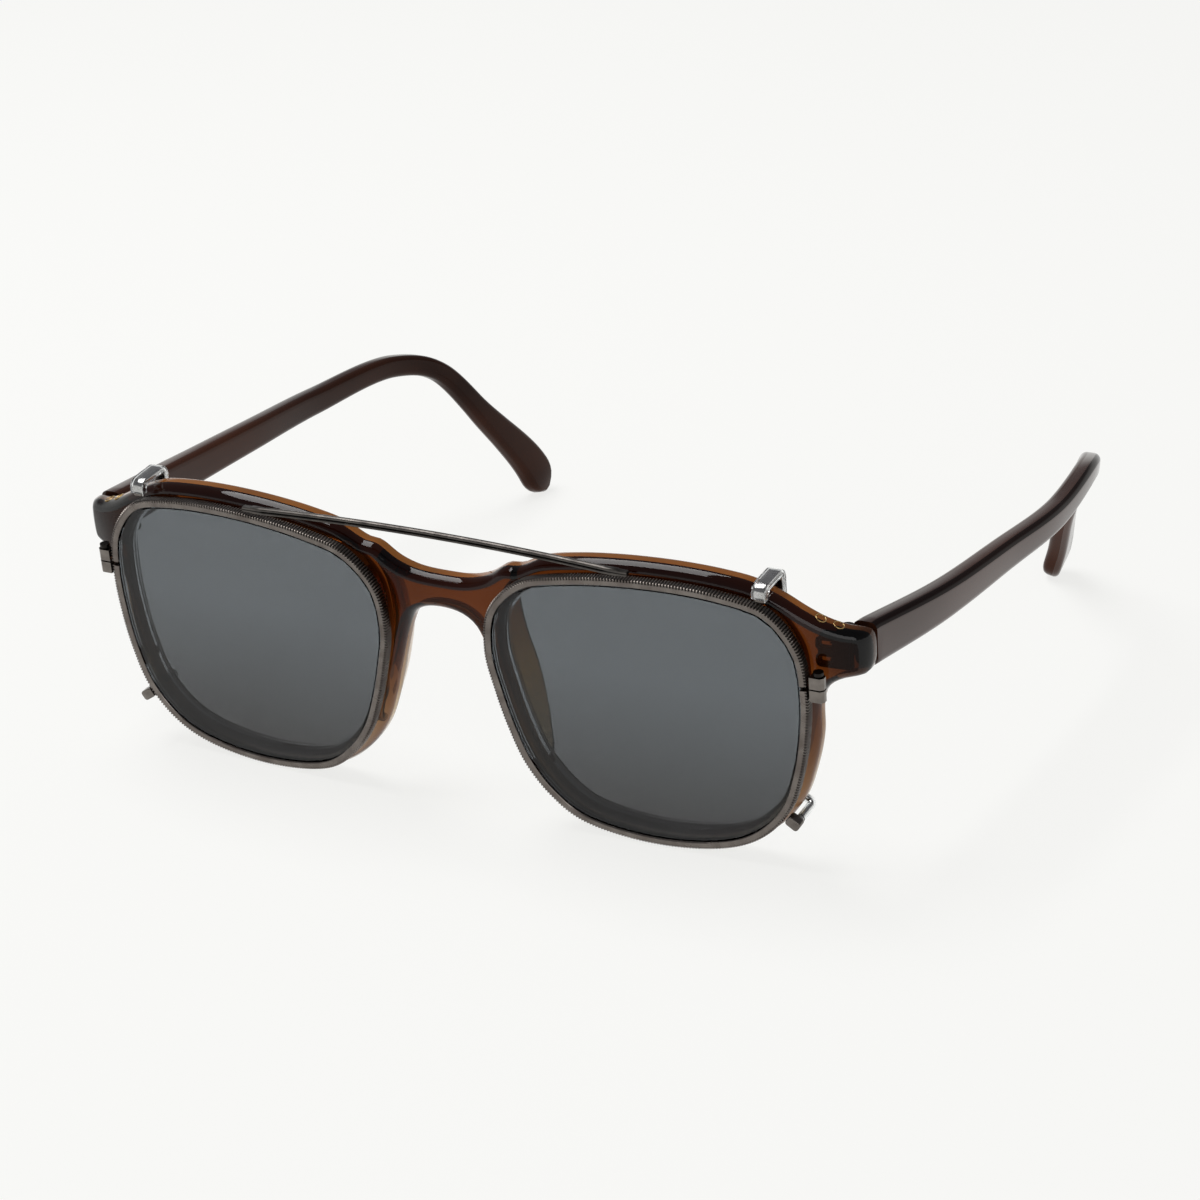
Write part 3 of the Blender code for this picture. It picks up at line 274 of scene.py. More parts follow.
def front_outline(count):
    """Closed outline of the whole front, counter-clockwise from under the bridge."""
    turns = [0, 30, 55, 120, 150, 180, 215, 260, 360]
    covers = [COVER_SIDE, COVER_SIDE, COVER_BROW, COVER_BROW + 0.2, COVER_NOSE, COVER_NOSE,
              COVER_NOSE, COVER_SIDE, COVER_SIDE]

    def rim_points(angles):
        return [tuple(at_angle(float(np.interp(a, turns, covers)), a)) for a in angles]

    under_bridge = [(0.0, BRIDGE_BOTTOM), (3.1, BRIDGE_BOTTOM - 0.45),
                    (5.1, BRIDGE_BOTTOM - 1.7), (6.4, BRIDGE_BOTTOM - 4.0)]
    lower_rim = rim_points([183, 196, 210, 225, 240, 255, 270, 285, 300, 315, 330, 345, 357])
    side_x = lower_rim[-1][0]
    end_piece = [
        (side_x + 0.15, END_BOTTOM - 5.2), (side_x + 0.7, END_BOTTOM - 3.0),
        (side_x + 1.9, END_BOTTOM - 1.3), (side_x + 3.6, END_BOTTOM - 0.4),
        (END_X - END_ROUND, END_BOTTOM), (END_X - 0.3 * END_ROUND, END_BOTTOM + 0.3 * END_ROUND),
        (END_X, END_BOTTOM + END_ROUND), (END_X, END_TOP - END_ROUND),
        (END_X - 0.3 * END_ROUND, END_TOP - 0.3 * END_ROUND), (END_X - END_ROUND, END_TOP),
        (END_X - 3.4, END_TOP + 0.45), (END_X - 6.2, END_TOP + 1.6), (END_X - 9.1, END_TOP + 3.2),
    ]
    brow = rim_points([46, 54, 64, 76, 90, 104, 117, 128, 136])
    bridge_top = [(11.2, BRIDGE_TOP + 3.4), (7.9, BRIDGE_TOP + 1.3),
                  (4.6, BRIDGE_TOP + 0.25), (0.0, BRIDGE_TOP)]
    half = under_bridge + lower_rim + end_piece + brow + bridge_top
    other_half = [(-x, z) for x, z in reversed(half[1:-1])]
    return smooth_curve(half + other_half, count, closed=True)


# ---------------------------------------------------------------- mesh helpers

def add_loop(mesh, points):
    return [mesh.verts.new(point) for point in points]


def bridge(mesh, loop_a, loop_b):
    count = len(loop_a)
    for i in range(count):
        j = (i + 1) % count
        mesh.faces.new((loop_a[i], loop_a[j], loop_b[j], loop_b[i]))


def loft(sections, closed_path=False):
    """A skin through loops of points, with flat ends, or joined end to end."""
    mesh = bmesh.new()
    loops = [add_loop(mesh, section) for section in sections]
    for loop_a, loop_b in zip(loops, loops[1:]):
        bridge(mesh, loop_a, loop_b)
    if closed_path:
        bridge(mesh, loops[-1], loops[0])
    else:
        mesh.faces.new(loops[0])
        mesh.faces.new(loops[-1])
    return mesh


def inside(point, polygon):
    crossed = False
    for a, b in zip(polygon, polygon[1:] + polygon[:1]):
        if (a.y > point.y) != (b.y > point.y):
            if point.x < a.x + (point.y - a.y) * (b.x - a.x) / (b.y - a.y):
                crossed = not crossed
    return crossed


def cap(mesh, outer, holes=()):
    """Fill the region between an outer loop and hole loops, seen from the front."""
    loops = [outer, *holes]
    corners = [corner for loop in loops for corner in loop]
    flat = [Vector((corner.co.x, corner.co.z)) for corner in corners]
    edges = []
    borders = []
    start = 0
    for loop in loops:
        edges += [(start + i, start + (i + 1) % len(loop)) for i in range(len(loop))]
        borders.append(flat[start:start + len(loop)])
        start += len(loop)
    filled = delaunay_2d_cdt(flat, edges, [], 0, 1e-7)
    for face in filled[2]:
        middle = sum((filled[0][i] for i in face), Vector((0.0, 0.0))) / len(face)
        if inside(middle, borders[0]) and not any(inside(middle, hole) for hole in borders[1:]):
            mesh.faces.new([corners[filled[3][i][0]] for i in face])


def path_frame(path, i):
    """Side and up axes of a path at one of its points; side stays near X."""
    forward = (path[min(i + 1, len(path) - 1)] - path[max(i - 1, 0)]).normalized()
    reference = Vector((1, 0, 0)) if abs(forward.x) < 0.9 else Vector((0, 1, 0))
    side_axis = (reference - forward * reference.dot(forward)).normalized()
    return side_axis, side_axis.cross(forward)


def ring(radius, sides):
    turns = [2 * math.pi * i / sides for i in range(sides)]
    return [(radius * math.cos(a), radius * math.sin(a)) for a in turns]


def turned(profile, centre, axis, sides=24):
    """A turned piece: (radius, height) points spun about an axis through the centre."""
    side = axis.orthogonal().normalized()
    up = axis.cross(side)
    sections = []
    for radius, height in profile:
        sections.append([centre + axis * height + side * a + up * b
                         for a, b in ring(max(radius, 1e-3), sides)])
    return loft(sections)


def finish_piece(name, mesh, body, materials, replaced=(), crease=35.0, mirror=False):
    """Put a piece on the stand, shade it and hang it on its CAD body."""
    bmesh.ops.recalc_face_normals(mesh, faces=mesh.faces)
    data = bpy.data.meshes.new(name)
    if mirror:
        for vertex in mesh.verts:
            vertex.co.x *= -1
        bmesh.ops.reverse_faces(mesh, faces=mesh.faces)
    mesh.to_mesh(data)
    data.transform(STAND)
    data.shade_smooth()
    data.set_sharp_from_angle(angle=math.radians(crease))
    obj = bpy.data.objects.new(name, data)
    bpy.context.scene.collection.objects.link(obj)
    for material in materials if isinstance(materials, tuple) else (materials,):
        data.materials.append(material)
    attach(obj, body)
    if replaced:
        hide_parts(*replaced)


def both_sides(name, mesh, body, material, node=None, crease=35.0):
    """The left-hand piece and its mirrored right-hand copy."""
    other = mesh.copy()
    for side, half in (("left", mesh), ("right", other)):
        finish_piece(f"{name}_{side}", half, body.replace("SIDE", side), material,
                     (f"{node}_{side}",) if node else (), crease, mirror=side == "right")


# ---------------------------------------------------------------- materials

def new_material(name):
    material = bpy.data.materials.new(name)
    material.use_nodes = True
    return material, material.node_tree, material.node_tree.nodes["Principled BSDF"]


def add_node(tree, kind, **settings):
    node = tree.nodes.new(kind)
    for key, value in settings.items():
        if key in node.inputs:
            node.inputs[key].default_value = value
        else:
            setattr(node, key, value)
    return node


def ramp(tree, source, stops):
    node = tree.nodes.new("ShaderNodeValToRGB")
    tree.links.new(source, node.inputs["Fac"])
    elements = node.color_ramp.elements
    while len(elements) < len(stops):
        elements.new(0.5)
    for element, (place, colour) in zip(elements, stops):
        element.position = place
        element.color = (*colour, 1.0)
    return node.outputs["Color"]


def noise_of(tree, scale, detail=3.0, stretch=(1.0, 1.0, 1.0)):
    where = tree.nodes.new("ShaderNodeTexCoord")
    mapping = add_node(tree, "ShaderNodeMapping")
    mapping.inputs["Scale"].default_value = stretch
    tree.links.new(where.outputs["Object"], mapping.inputs["Vector"])
    noise = add_node(tree, "ShaderNodeTexNoise", Scale=scale, Detail=detail)
    tree.links.new(mapping.outputs["Vector"], noise.inputs["Vector"])
    return noise.outputs["Fac"]


def add_bump(tree, shader, height, strength, distance):
    bump = add_node(tree, "ShaderNodeBump", Strength=strength, Distance=distance)
    tree.links.new(height, bump.inputs["Height"])
    tree.links.new(bump.outputs["Normal"], shader.inputs["Normal"])


def height_of(tree):
    """0 at the foot of the front, 1 at its top."""
    where = tree.nodes.new("ShaderNodeTexCoord")
    split = tree.nodes.new("ShaderNodeSeparateXYZ")
    tree.links.new(where.outputs["Object"], split.inputs["Vector"])
    ranged = tree.nodes.new("ShaderNodeMapRange")
    ranged.inputs["From Min"].default_value = 0.0
    ranged.inputs["From Max"].default_value = ACETATE_HEIGHT
    tree.links.new(split.outputs["Z"], ranged.inputs["Value"])
    return ranged.outputs["Result"]


def acetate_material(name, stops, clarity=1.0, index=1.3):
    """Polished acetate, tinted by height, near black at the end pieces.

    Clarity is the share of light it lets through. The index is lower than real acetate's, so
    that the plain studio doesn't veil it in grey reflections.
    """
    material, tree, shader = new_material(name)
    tint = ramp(tree, height_of(tree), stops)
    streaks = noise_of(tree, 90.0, 2.0, (1.0, 1.0, 0.35))
    shade = ramp(tree, streaks, [(0.3, (0.72, 0.70, 0.68)), (0.7, (1.0, 1.0, 1.0))])
    where = tree.nodes.new("ShaderNodeTexCoord")
    split = tree.nodes.new("ShaderNodeSeparateXYZ")
    tree.links.new(where.outputs["Object"], split.inputs["Vector"])
    size = add_node(tree, "ShaderNodeMath", operation="ABSOLUTE")
    tree.links.new(split.outputs["X"], size.inputs[0])
    outer = tree.nodes.new("ShaderNodeMapRange")
    outer.inputs["From Min"].default_value = ENDS_DARK_FROM
    outer.inputs["From Max"].default_value = ENDS_DARK_TO
    tree.links.new(size.outputs["Value"], outer.inputs["Value"])
    ends = ramp(tree, outer.outputs["Result"], [
        (0.0, (1.0, 1.0, 1.0)), (0.55, (0.55, 0.5, 0.48)), (1.0, (0.16, 0.13, 0.13))])
    for layer in (shade, ends):
        mix = add_node(tree, "ShaderNodeMix", data_type="RGBA", blend_type="MULTIPLY")
        mix.inputs["Factor"].default_value = 1.0
        tree.links.new(tint, mix.inputs[6])
        tree.links.new(layer, mix.inputs[7])
        tint = mix.outputs[2]
    tree.links.new(tint, shader.inputs["Base Color"])
    polish = noise_of(tree, POLISH_SCALE)
    tree.links.new(ramp(tree, polish, [(0.3, (0.02,) * 3), (0.8, (0.05,) * 3)]),
                   shader.inputs["Roughness"])
    shader.inputs["Transmission Weight"].default_value = clarity
    shader.inputs["IOR"].default_value = index
    volume = add_node(tree, "ShaderNodeVolumeAbsorption", Density=ACETATE_ABSORPTION)
    volume.inputs["Color"].default_value = ACETATE_TINT
    tree.links.new(volume.outputs["Volume"], tree.nodes["Material Output"].inputs["Volume"])
    return material


def metal_material(name, dark, light, roughness):
    """Metal with fine wear: colours from dark to light, rougher where darker."""
    material, tree, shader = new_material(name)
    wear = noise_of(tree, METAL_GRAIN, 4.0)
    tree.links.new(ramp(tree, wear, [(0.3, dark), (0.7, light)]), shader.inputs["Base Color"])
    low, high = roughness
    tree.links.new(ramp(tree, wear, [(0.25, (high,) * 3), (0.75, (low,) * 3)]),
                   shader.inputs["Roughness"])
    shader.inputs["Metallic"].default_value = 1.0
    add_bump(tree, shader, wear, 0.12, 0.00003)
    return material


def lens_material(name, low, high, roughness=0.0, index=1.5):
    """Clear plastic, its tint graded from low to high on the front."""
    material, tree, shader = new_material(name)
    tree.links.new(ramp(tree, height_of(tree), [(0.08, low), (0.6, high)]),
                   shader.inputs["Base Color"])
    shader.inputs["Roughness"].default_value = roughness
    shader.inputs["Transmission Weight"].default_value = 1.0
    shader.inputs["IOR"].default_value = index
    return material


brown = acetate_material("acetate_face", [
    (0.0, (0.78, 0.78, 0.80)), (0.12, (0.72, 0.67, 0.60)), (0.24, (0.62, 0.47, 0.27)),
    (0.42, (0.50, 0.29, 0.09)), (0.57, (0.33, 0.115, 0.025)), (0.72, (0.155, 0.038, 0.006)),
    (1.0, (0.12, 0.030, 0.005))], 0.85, 1.22)
# The copies below are the same acetate with painted light and shade: the bevel copy is darker at
# the top (painted shade), the wall copy lighter and more orange at the top (painted light), the
# eye edge copy dark grey (painted shade).
bevelled = acetate_material("acetate_bevel_painted_shade", [
    (0.0, (0.78, 0.78, 0.80)), (0.10, (0.70, 0.64, 0.54)), (0.28, (0.60, 0.44, 0.22)),
    (0.50, (0.46, 0.25, 0.085)), (0.64, (0.22, 0.085, 0.024)), (0.74, (0.045, 0.014, 0.005)),
    (1.0, (0.03, 0.010, 0.004))], index=1.34)
wall_painted_light = acetate_material("acetate_wall_painted_light", [
    (0.0, (0.85, 0.85, 0.87)), (0.12, (0.80, 0.75, 0.67)), (0.26, (0.68, 0.50, 0.26)),
    (0.48, (0.50, 0.27, 0.08)), (0.72, (0.46, 0.175, 0.04)), (1.0, (0.50, 0.185, 0.04))], 0.45)
eye_edge_painted_shade = acetate_material("acetate_eye_edge_painted_shade", [
    (0.0, (0.08, 0.085, 0.105)), (0.12, (0.085, 0.088, 0.10)), (0.30, (0.12, 0.105, 0.09)),
    (0.55, (0.11, 0.05, 0.025)), (1.0, (0.07, 0.025, 0.010))])
pad_acetate = acetate_material("acetate_pad", [
    (0.0, (0.62, 0.60, 0.58)), (0.28, (0.58, 0.47, 0.32)), (0.50, (0.48, 0.29, 0.12)),
    (0.70, (0.28, 0.11, 0.035)), (1.0, (0.15, 0.05, 0.015))])


def dark_acetate(name, gloss, dark=(0.014, 0.005, 0.003), light=(0.060, 0.019, 0.009)):
    """The temples' opaque acetate, with clouds drawn out along its length."""
    material, tree, shader = new_material(name)
    cloud = noise_of(tree, 60.0, 3.0, (1.0, 0.25, 1.0))
    tree.links.new(ramp(tree, cloud, [(0.3, dark), (0.75, light)]), shader.inputs["Base Color"])
    polish = noise_of(tree, POLISH_SCALE)
    tree.links.new(ramp(tree, polish, [(0.3, (0.10,) * 3), (0.8, (0.17,) * 3)]),
                   shader.inputs["Roughness"])
    shader.inputs["IOR"].default_value = TEMPLE_IOR
    shader.inputs["Specular IOR Level"].default_value = gloss
    return material


# One acetate in three copies: the inner face copy reflects less and the edge copy is darker and
# duller, both painted shade.
cola_outer = dark_acetate("temple_outer_face", 0.42)
cola_inner_painted_shade = dark_acetate("temple_inner_face", 0.1)
cola_edge_painted_shade = dark_acetate("temple_edge", 0.05, (0.004, 0.002, 0.002), (0.012, 0.005, 0.004))
tinted = lens_material("grey_tinted_lens", (0.058, 0.058, 0.059), (0.118, 0.130, 0.141),
                       index=1.36)
clear = lens_material("clear_lens", (0.95, 0.96, 0.96), (0.97, 0.98, 0.98), index=1.3)
gunmetal = metal_material("gunmetal", (0.115, 0.098, 0.088), (0.185, 0.165, 0.15), (0.22, 0.34))
black_metal_and_painted_shade = metal_material("black_metal_and_painted_shade", (0.012, 0.011, 0.010), (0.03, 0.027, 0.025), (0.25, 0.4))
pewter = metal_material("pewter", (0.11, 0.097, 0.088), (0.20, 0.18, 0.163), (0.18, 0.3))
chrome = metal_material("chrome", (0.42, 0.41, 0.40), (0.62, 0.61, 0.60), (0.08, 0.16))
steel = metal_material("dark_steel", (0.05, 0.045, 0.042), (0.12, 0.11, 0.10), (0.25, 0.4))
gilt = metal_material("gilt", (0.45, 0.30, 0.12), (0.60, 0.42, 0.18), (0.2, 0.3))
sleeve = lens_material("clear_sleeve", (0.90, 0.91, 0.91), (0.93, 0.94, 0.94), 0.02)


# ---------------------------------------------------------------- the acetate front

def skin(mesh, outline, profile):
    """Loops of an outline offset and sunk by each (offset, depth) of a profile, bridged."""
    normals = outward_normals(outline)
    loops = []
    for offset, depth in profile:
        points = outline + normals * offset
        loops.append(add_loop(mesh, [front_place(x, z, depth) for x, z in points]))
    for loop_a, loop_b in zip(loops, loops[1:]):
        bridge(mesh, loop_a, loop_b)
    return loops


def paint(mesh, start, count, bands):
    """One material for each band of faces that skin() laid from a start index."""
    mesh.faces.ensure_lookup_table()
    for band, index in enumerate(bands):
        for face in mesh.faces[start + band * count:start + (band + 1) * count]:
            face.material_index = index


def front_shell():
    """The whole front as one polished piece, with a wide front bevel and soft edges."""
    mesh = bmesh.new()
    thick = FRONT_THICK
    outer_profile = [(-1.35, 0.0), (-1.1, 0.05), (-0.75, 0.25), (-0.42, 0.6), (-0.18, 1.02),
                     (-0.04, 1.45), (0.0, 1.85), (0.0, thick - 0.7), (-0.06, thick - 0.4),
                     (-0.22, thick - 0.16), (-0.5, thick - 0.03), (-0.8, thick)]
    outer = skin(mesh, front_outline(FRONT_POINTS), outer_profile)
    # The front and back roundings take slot 1, the darker bevel copy, as painted shade; the flat
    # outer wall takes slot 2, the lighter wall copy, as painted light; the front and back faces
    # keep slot 0.
    paint(mesh, 0, FRONT_POINTS, [1] * 6 + [2] * 2 + [1] * 3)
    lip = -EYE_INSET
    hole_profile = [(lip + 0.5, 0.0), (lip + 0.2, 0.06), (lip + 0.05, 0.2), (lip, 0.45),
                    (lip, thick - 0.45), (lip + 0.05, thick - 0.2), (lip + 0.2, thick - 0.06),
                    (lip + 0.5, thick)]
    holes = []
    for side in (1, -1):
        outline = lens_outline(0.0, EYE_POINTS)
        if side < 0:
            outline = outline[::-1] * np.array([-1.0, 1.0])
        start = len(mesh.faces)
        holes.append(skin(mesh, outline, hole_profile))
        # The eye openings' walls take slot 3, the darker eye edge copy, as painted shade.
        paint(mesh, start, EYE_POINTS, [3] * 7)
    cap(mesh, outer[0], [loops[0] for loops in holes])
    cap(mesh, outer[-1], [loops[-1] for loops in holes])
    finish_piece("front_shell", mesh, "front", (brown, bevelled, wall_painted_light, eye_edge_painted_shade),
                 ("front_frame",), 40.0)


def nose_pads():
    """Pads that swell from the back of the rims, their crests leaning away from the nose."""
    outline = lens_outline(0.0, 720)
    normals = outward_normals(outline)
    angles = lens_angles(outline)
    sections = []
    steps = 40
    for i in range(steps):
        share = i / (steps - 1)
        k = int(np.argmin(np.abs(angles - (PAD_FROM + (PAD_TO - PAD_FROM) * share))))
        swell = 0.1 + 0.9 * math.sin(math.pi * share) ** 0.7
        width = PAD_WIDTH * (0.55 + 0.45 * swell)
        middle = (COVER_NOSE - EYE_INSET) / 2
        rows = [(width / 2, 0.0, 0.0), (width / 2, 0.3, 0.25), (width / 2.1, 0.6, 0.5),
                (width / 2.7, 0.82, 0.72), (width / 4.6, 0.95, 0.9), (0.0, 0.99, 0.97),
                (-width / 4, 0.98, 1.0), (-width / 2.4, 0.86, 0.88), (-width / 2, 0.65, 0.7),
                (-width / 2, 0.3, 0.3), (-width / 2, 0.0, 0.0)]
        section = []
        for across, rise, lean in rows:
            offset = middle + across - PAD_TILT * lean * swell
            x, z = outline[k] + normals[k] * offset
            depth = FRONT_THICK + SEAT_GAP + PAD_HEIGHT * rise * swell
            section.append(front_place(x, z, depth))
        sections.append(section)
    both_sides("nose_cushion", loft(sections), "front", pad_acetate,
               "nose_pad", 50.0)


def eye_lenses():
    """Clear lenses that follow the curve of the front, with a thin bevelled edge."""
    mesh = bmesh.new()
    outline = lens_outline(-EYE_INSET - LENS_EDGE_GAP, 160)
    centre = np.array([LENS_CENTRE, 0.0])
    front, back = (FRONT_THICK - LENS_THICK) / 2, (FRONT_THICK + LENS_THICK) / 2
    shares = [1.0 - (i / 12) ** 1.5 for i in range(12)]
    rows = [(share, front) for share in reversed(shares)]
    rows[-1] = (0.99, front)
    rows += [(1.0, front + 0.25), (1.0, back - 0.25), (0.99, back)]
    rows += [(share, back) for share in shares[1:]]
    loops = []
    for share, depth in rows:
        points = centre + (outline - centre) * share
        loops.append(add_loop(mesh, [front_place(x, z, depth) for x, z in points]))
    for loop_a, loop_b in zip(loops, loops[1:]):
        bridge(mesh, loop_a, loop_b)
    mesh.faces.new(loops[0])
    mesh.faces.new(loops[-1])
    both_sides("eye_lens", mesh, "front", clear, "lens", 30.0)


# ---------------------------------------------------------------- the temples

def temple_arms():
    """Side arms with rounded edges that bend down behind the ears and widen to a paddle."""
    stations = 150
    points = []
    for reach, drop, bow, toe in TEMPLE_LINE:
        points.append((END_X - TEMPLE_THICK / 2 + TEMPLE_BOW * bow - TEMPLE_TOE_IN * toe,
                       JOINT_Y + TEMPLE_REACH * reach, END_MIDDLE - TEMPLE_DROP * drop))
    line = [Vector(point) for point in smooth_curve(points, stations, closed=False)]
    length = sum((b - a).length for a, b in zip(line, line[1:]))
    sections = []
    for i in range(stations):
        share = i / (stations - 1)
        side_axis, up_axis = path_frame(line, i)
        if i == 0:
            side_axis, up_axis = Vector((1, 0, 0)), Vector((0, 0, 1))
        height = TEMPLE_HEIGHT * float(np.interp(share, *zip(*TEMPLE_HEIGHTS)))
        thick = float(np.interp(share, [0.0, 1.0], [TEMPLE_THICK, TEMPLE_TIP_THICK]))
        left = (1.0 - share) * length
        taper = math.sqrt(max(0.09, 1.0 - (1.0 - min(1.0, left / TEMPLE_TIP_ROUND)) ** 2))
        half_w = thick / 2 * (0.45 + 0.55 * taper)
        half_h = height / 2 * taper
        corners = [(1.3, 1.0), (1.2, 1.2), (1.2, 1.2), (1.3, 1.0)]
        section = []
        for quarter in range(4):
            edge = min(corners[quarter][0], 0.7 * half_w, 0.7 * half_h)
            corner_x = (half_w - edge) * (1 if quarter in (0, 3) else -1)
            corner_z = (half_h - edge) * (1 if quarter in (0, 1) else -1)
            for turn in (0, 15, 30, 45, 60, 75, 90):
                angle = math.radians(90 * quarter + turn)
                section.append(line[i] + side_axis * (corner_x + edge * math.cos(angle))
                               + up_axis * (corner_z + edge * math.sin(angle)))
        sections.append(section)
    mesh = loft(sections)
    # Slot 1 is the inner side, given weaker reflections as painted shade; slot 2 the upper outer
    # edge, darker and duller as painted shade; slot 0 the rest
    mesh.faces.ensure_lookup_table()
    around = len(sections[0])
    for index, face in enumerate(mesh.faces):
        if around // 4 <= index % around < 3 * around // 4:
            face.material_index = 1
        elif 1 <= index % around <= 4:
            face.material_index = 2
    both_sides("temple_arm", mesh, "temple_SIDE", (cola_outer, cola_inner_painted_shade, cola_edge_painted_shade),
               "temple", 50.0)


# ---------------------------------------------------------------- the clip

def clip_rings():
    """Grooved metal rims whose front edge and side wall are milled like a coin's."""
    fine = RIM_TEETH * POINTS_PER_TOOTH
    outline = lens_outline(0.0, fine)
    normals = outward_normals(outline)
    temporal = [k for k in range(fine) if outline[k][0] > LENS_CENTRE]
    start = min(temporal, key=lambda k: abs(outline[k][1] - LOCK_Z))
    path = np.roll(np.hstack([outline, normals]), -start, axis=0)
    middle = CLIP_RIM_DEPTH / 2
    half_groove = CLIP_GROOVE_WIDTH / 2
    floor = CLIP_GROOVE_DEPTH - CLIP_RIM_WIDTH
    inner = -CLIP_RIM_WIDTH
    depth = CLIP_RIM_DEPTH
    sections = []
    notches = []
    for k in range(3, fine - 2):
        notch = 0.0 if k % POINTS_PER_TOOTH < POINTS_PER_TOOTH // 2 else 1.0
        notches.append(notch)
        spot, normal = path[k][:2], path[k][2:]
        cut = TOOTH_CUT * notch
        profile = [(-0.42, 0.02), (-0.36, 0.02 + cut), (-0.10 - cut, 0.04 + 0.8 * cut),
                   (-cut, 0.22), (-cut, depth - 0.2), (-0.2, depth),
                   (inner + 0.1, depth), (inner, depth - 0.1), (inner, middle + half_groove),
                   (floor, middle + half_groove), (floor, middle - half_groove),
                   (inner, middle - half_groove), (inner, 0.16), (inner + 0.08, 0.06),
                   (inner + 0.2, 0.0)]
        sections.append([clip_place(*(spot + normal * offset), deep) for offset, deep in profile])
    mesh = loft(sections)
    mesh.faces.ensure_lookup_table()
    # Faces inside the tooth notches take the black metal: painted shade in the recesses.
    for i, (a, b) in enumerate(zip(notches, notches[1:])):
        if a and b:
            for j in range(5):
                mesh.faces[i * len(sections[0]) + j].material_index = 1
    both_sides("milled_rim", mesh, "clip", (gunmetal, black_metal_and_painted_shade), "clip_rim", 25.0)


def brow_wires():
    """Two drawn wires side by side, flattened and stepped where they meet the rims."""
    top = LENS_BOX_HEIGHT / 2 + SEAT_GAP + BAR_HEIGHT / 2
    front = clip_place(BAR_HALF_LENGTH, 0.0, 0.0).y
    plain = BAR_HALF_LENGTH - BAR_STEP_LENGTH
    wire, deep = BAR_HEIGHT / 4, BAR_DEPTH / 2
    turns = [math.radians(t) for t in range(-66, 247, 24)]
    rows = [(math.cos(t), 1.0 + math.sin(t)) for t in turns]
    rows += [(y, -z) for y, z in reversed(rows)]
    sections = []
    foot = [plain + 0.35, plain + 0.7, plain + 2.2, plain + 2.3, BAR_HALF_LENGTH - 0.15,
            BAR_HALF_LENGTH]
    stops = sorted([*np.linspace(-plain, plain, 61), *foot, *(-x for x in foot)])
    for x in stops:
        z = top + BAR_ARCH * max(0.0, 1.0 - (x / plain) ** 2)
        out = abs(x) - plain
        flat = min(1.0, max(0.0, out / 0.7))
        tall = 1.0 - 0.1 * flat - (0.22 if out > 2.25 else 0.0)
        slim = 0.8 if out > BAR_STEP_LENGTH - 0.1 else 1.0
        section = []
        for y, h in rows:
            squared = math.copysign(abs(y) ** 0.2, y)
            across = slim * (y + (squared - y) * flat)
            section.append(Vector((x, front + deep - deep * across, z + wire * h * tall * slim)))
        sections.append(section)
    mesh = loft(sections)
    mesh.faces.ensure_lookup_table()
    count = len(rows)
    # The groove faces between the two wires, at front and back, take the black metal: painted
    # shade in the crease.
    for i in range(len(sections) - 1):
        for j in (0, count // 2 - 2, count // 2 - 1, count // 2, count - 2, count - 1):
            mesh.faces[i * count + j].material_index = 1
    finish_piece("brow_wires", mesh, "clip", (steel, black_metal_and_painted_shade), ("brow_bar",), 50.0)


def hook_path():
    """The upper hook's centre line: up, over the front and down behind it."""
    outline = lens_outline(0.0, 360)
    half_width = HOOK_WIDTH / 2 + SLEEVE_GAP + SLEEVE_WALL + SEAT_GAP
    near = [p for p in outline if p[1] > 0 and abs(p[0] - HOOK_X) < half_width]
    outer_z = max(p[1] for p in near)
    acetate_z = max(p[1] for p in lens_outline(COVER_BROW + 0.1, 360)
                    if p[1] > 0 and abs(p[0] - HOOK_X) < half_width)
    stand_off = HOOK_THICK / 2 + SLEEVE_GAP + SLEEVE_WALL
    front = clip_place(HOOK_X, 0.0, CLIP_RIM_DEPTH / 2).y
    back = front_place(HOOK_X + HOOK_WIDTH, 0.0, FRONT_THICK).y + SEAT_GAP + stand_off
    high = acetate_z + SEAT_GAP + stand_off
    low = high - HOOK_TURN
    arcs = [math.radians(a) for a in range(10, 91, 10)]
    corners = [(front, outer_z + SEAT_GAP), (front, (outer_z + SEAT_GAP + low) / 2), (front, low)]
    corners += [(front + HOOK_TURN * (1 - math.cos(a)), low + HOOK_TURN * math.sin(a))
                for a in arcs]
    corners += [(back - HOOK_TURN, high)]
    corners += [(back - HOOK_TURN + HOOK_TURN * math.sin(a), low + HOOK_TURN * math.cos(a))
                for a in arcs]
    corners += [(back, low - 0.9 * HOOK_DROP), (back, low - HOOK_DROP)]
    return [Vector((HOOK_X, y, z)) for y, z in corners]


def slab(width, thick, edge, steps=3):
    """Rounded-rectangle cross-section of a strip."""
    rows = []
    for quarter in range(4):
        for step in range(steps + 1):
            a = math.pi / 2 * (quarter + step / steps)
            across = (width / 2 - edge) * (1 if quarter in (0, 3) else -1)
            up = (thick / 2 - edge) * (1 if quarter in (0, 1) else -1)
            rows.append((across + edge * math.cos(a), up + edge * math.sin(a)))
    return rows


def strip(path, rows):
    """A strip of one cross-section along a path in one X plane."""
    sections = []
    for i, centre in enumerate(path):
        up_axis = path_frame(path, i)[1]
        sections.append([centre + Vector((a, 0, 0)) + up_axis * b for a, b in rows])
    return loft(sections)


def hollow(path, outer, inner):
    """A sleeve: an outer skin and a bore along one path, joined at both ends."""
    mesh = bmesh.new()
    skins = []
    for rows in (outer, inner):
        loops = []
        for i, centre in enumerate(path):
            side_axis, up_axis = path_frame(path, i)
            loops.append(add_loop(mesh, [centre + side_axis * a + up_axis * b for a, b in rows]))
        for loop_a, loop_b in zip(loops, loops[1:]):
            bridge(mesh, loop_a, loop_b)
        skins.append(loops)
    for end in (0, -1):
        bridge(mesh, skins[0][end], skins[1][end])
    return mesh


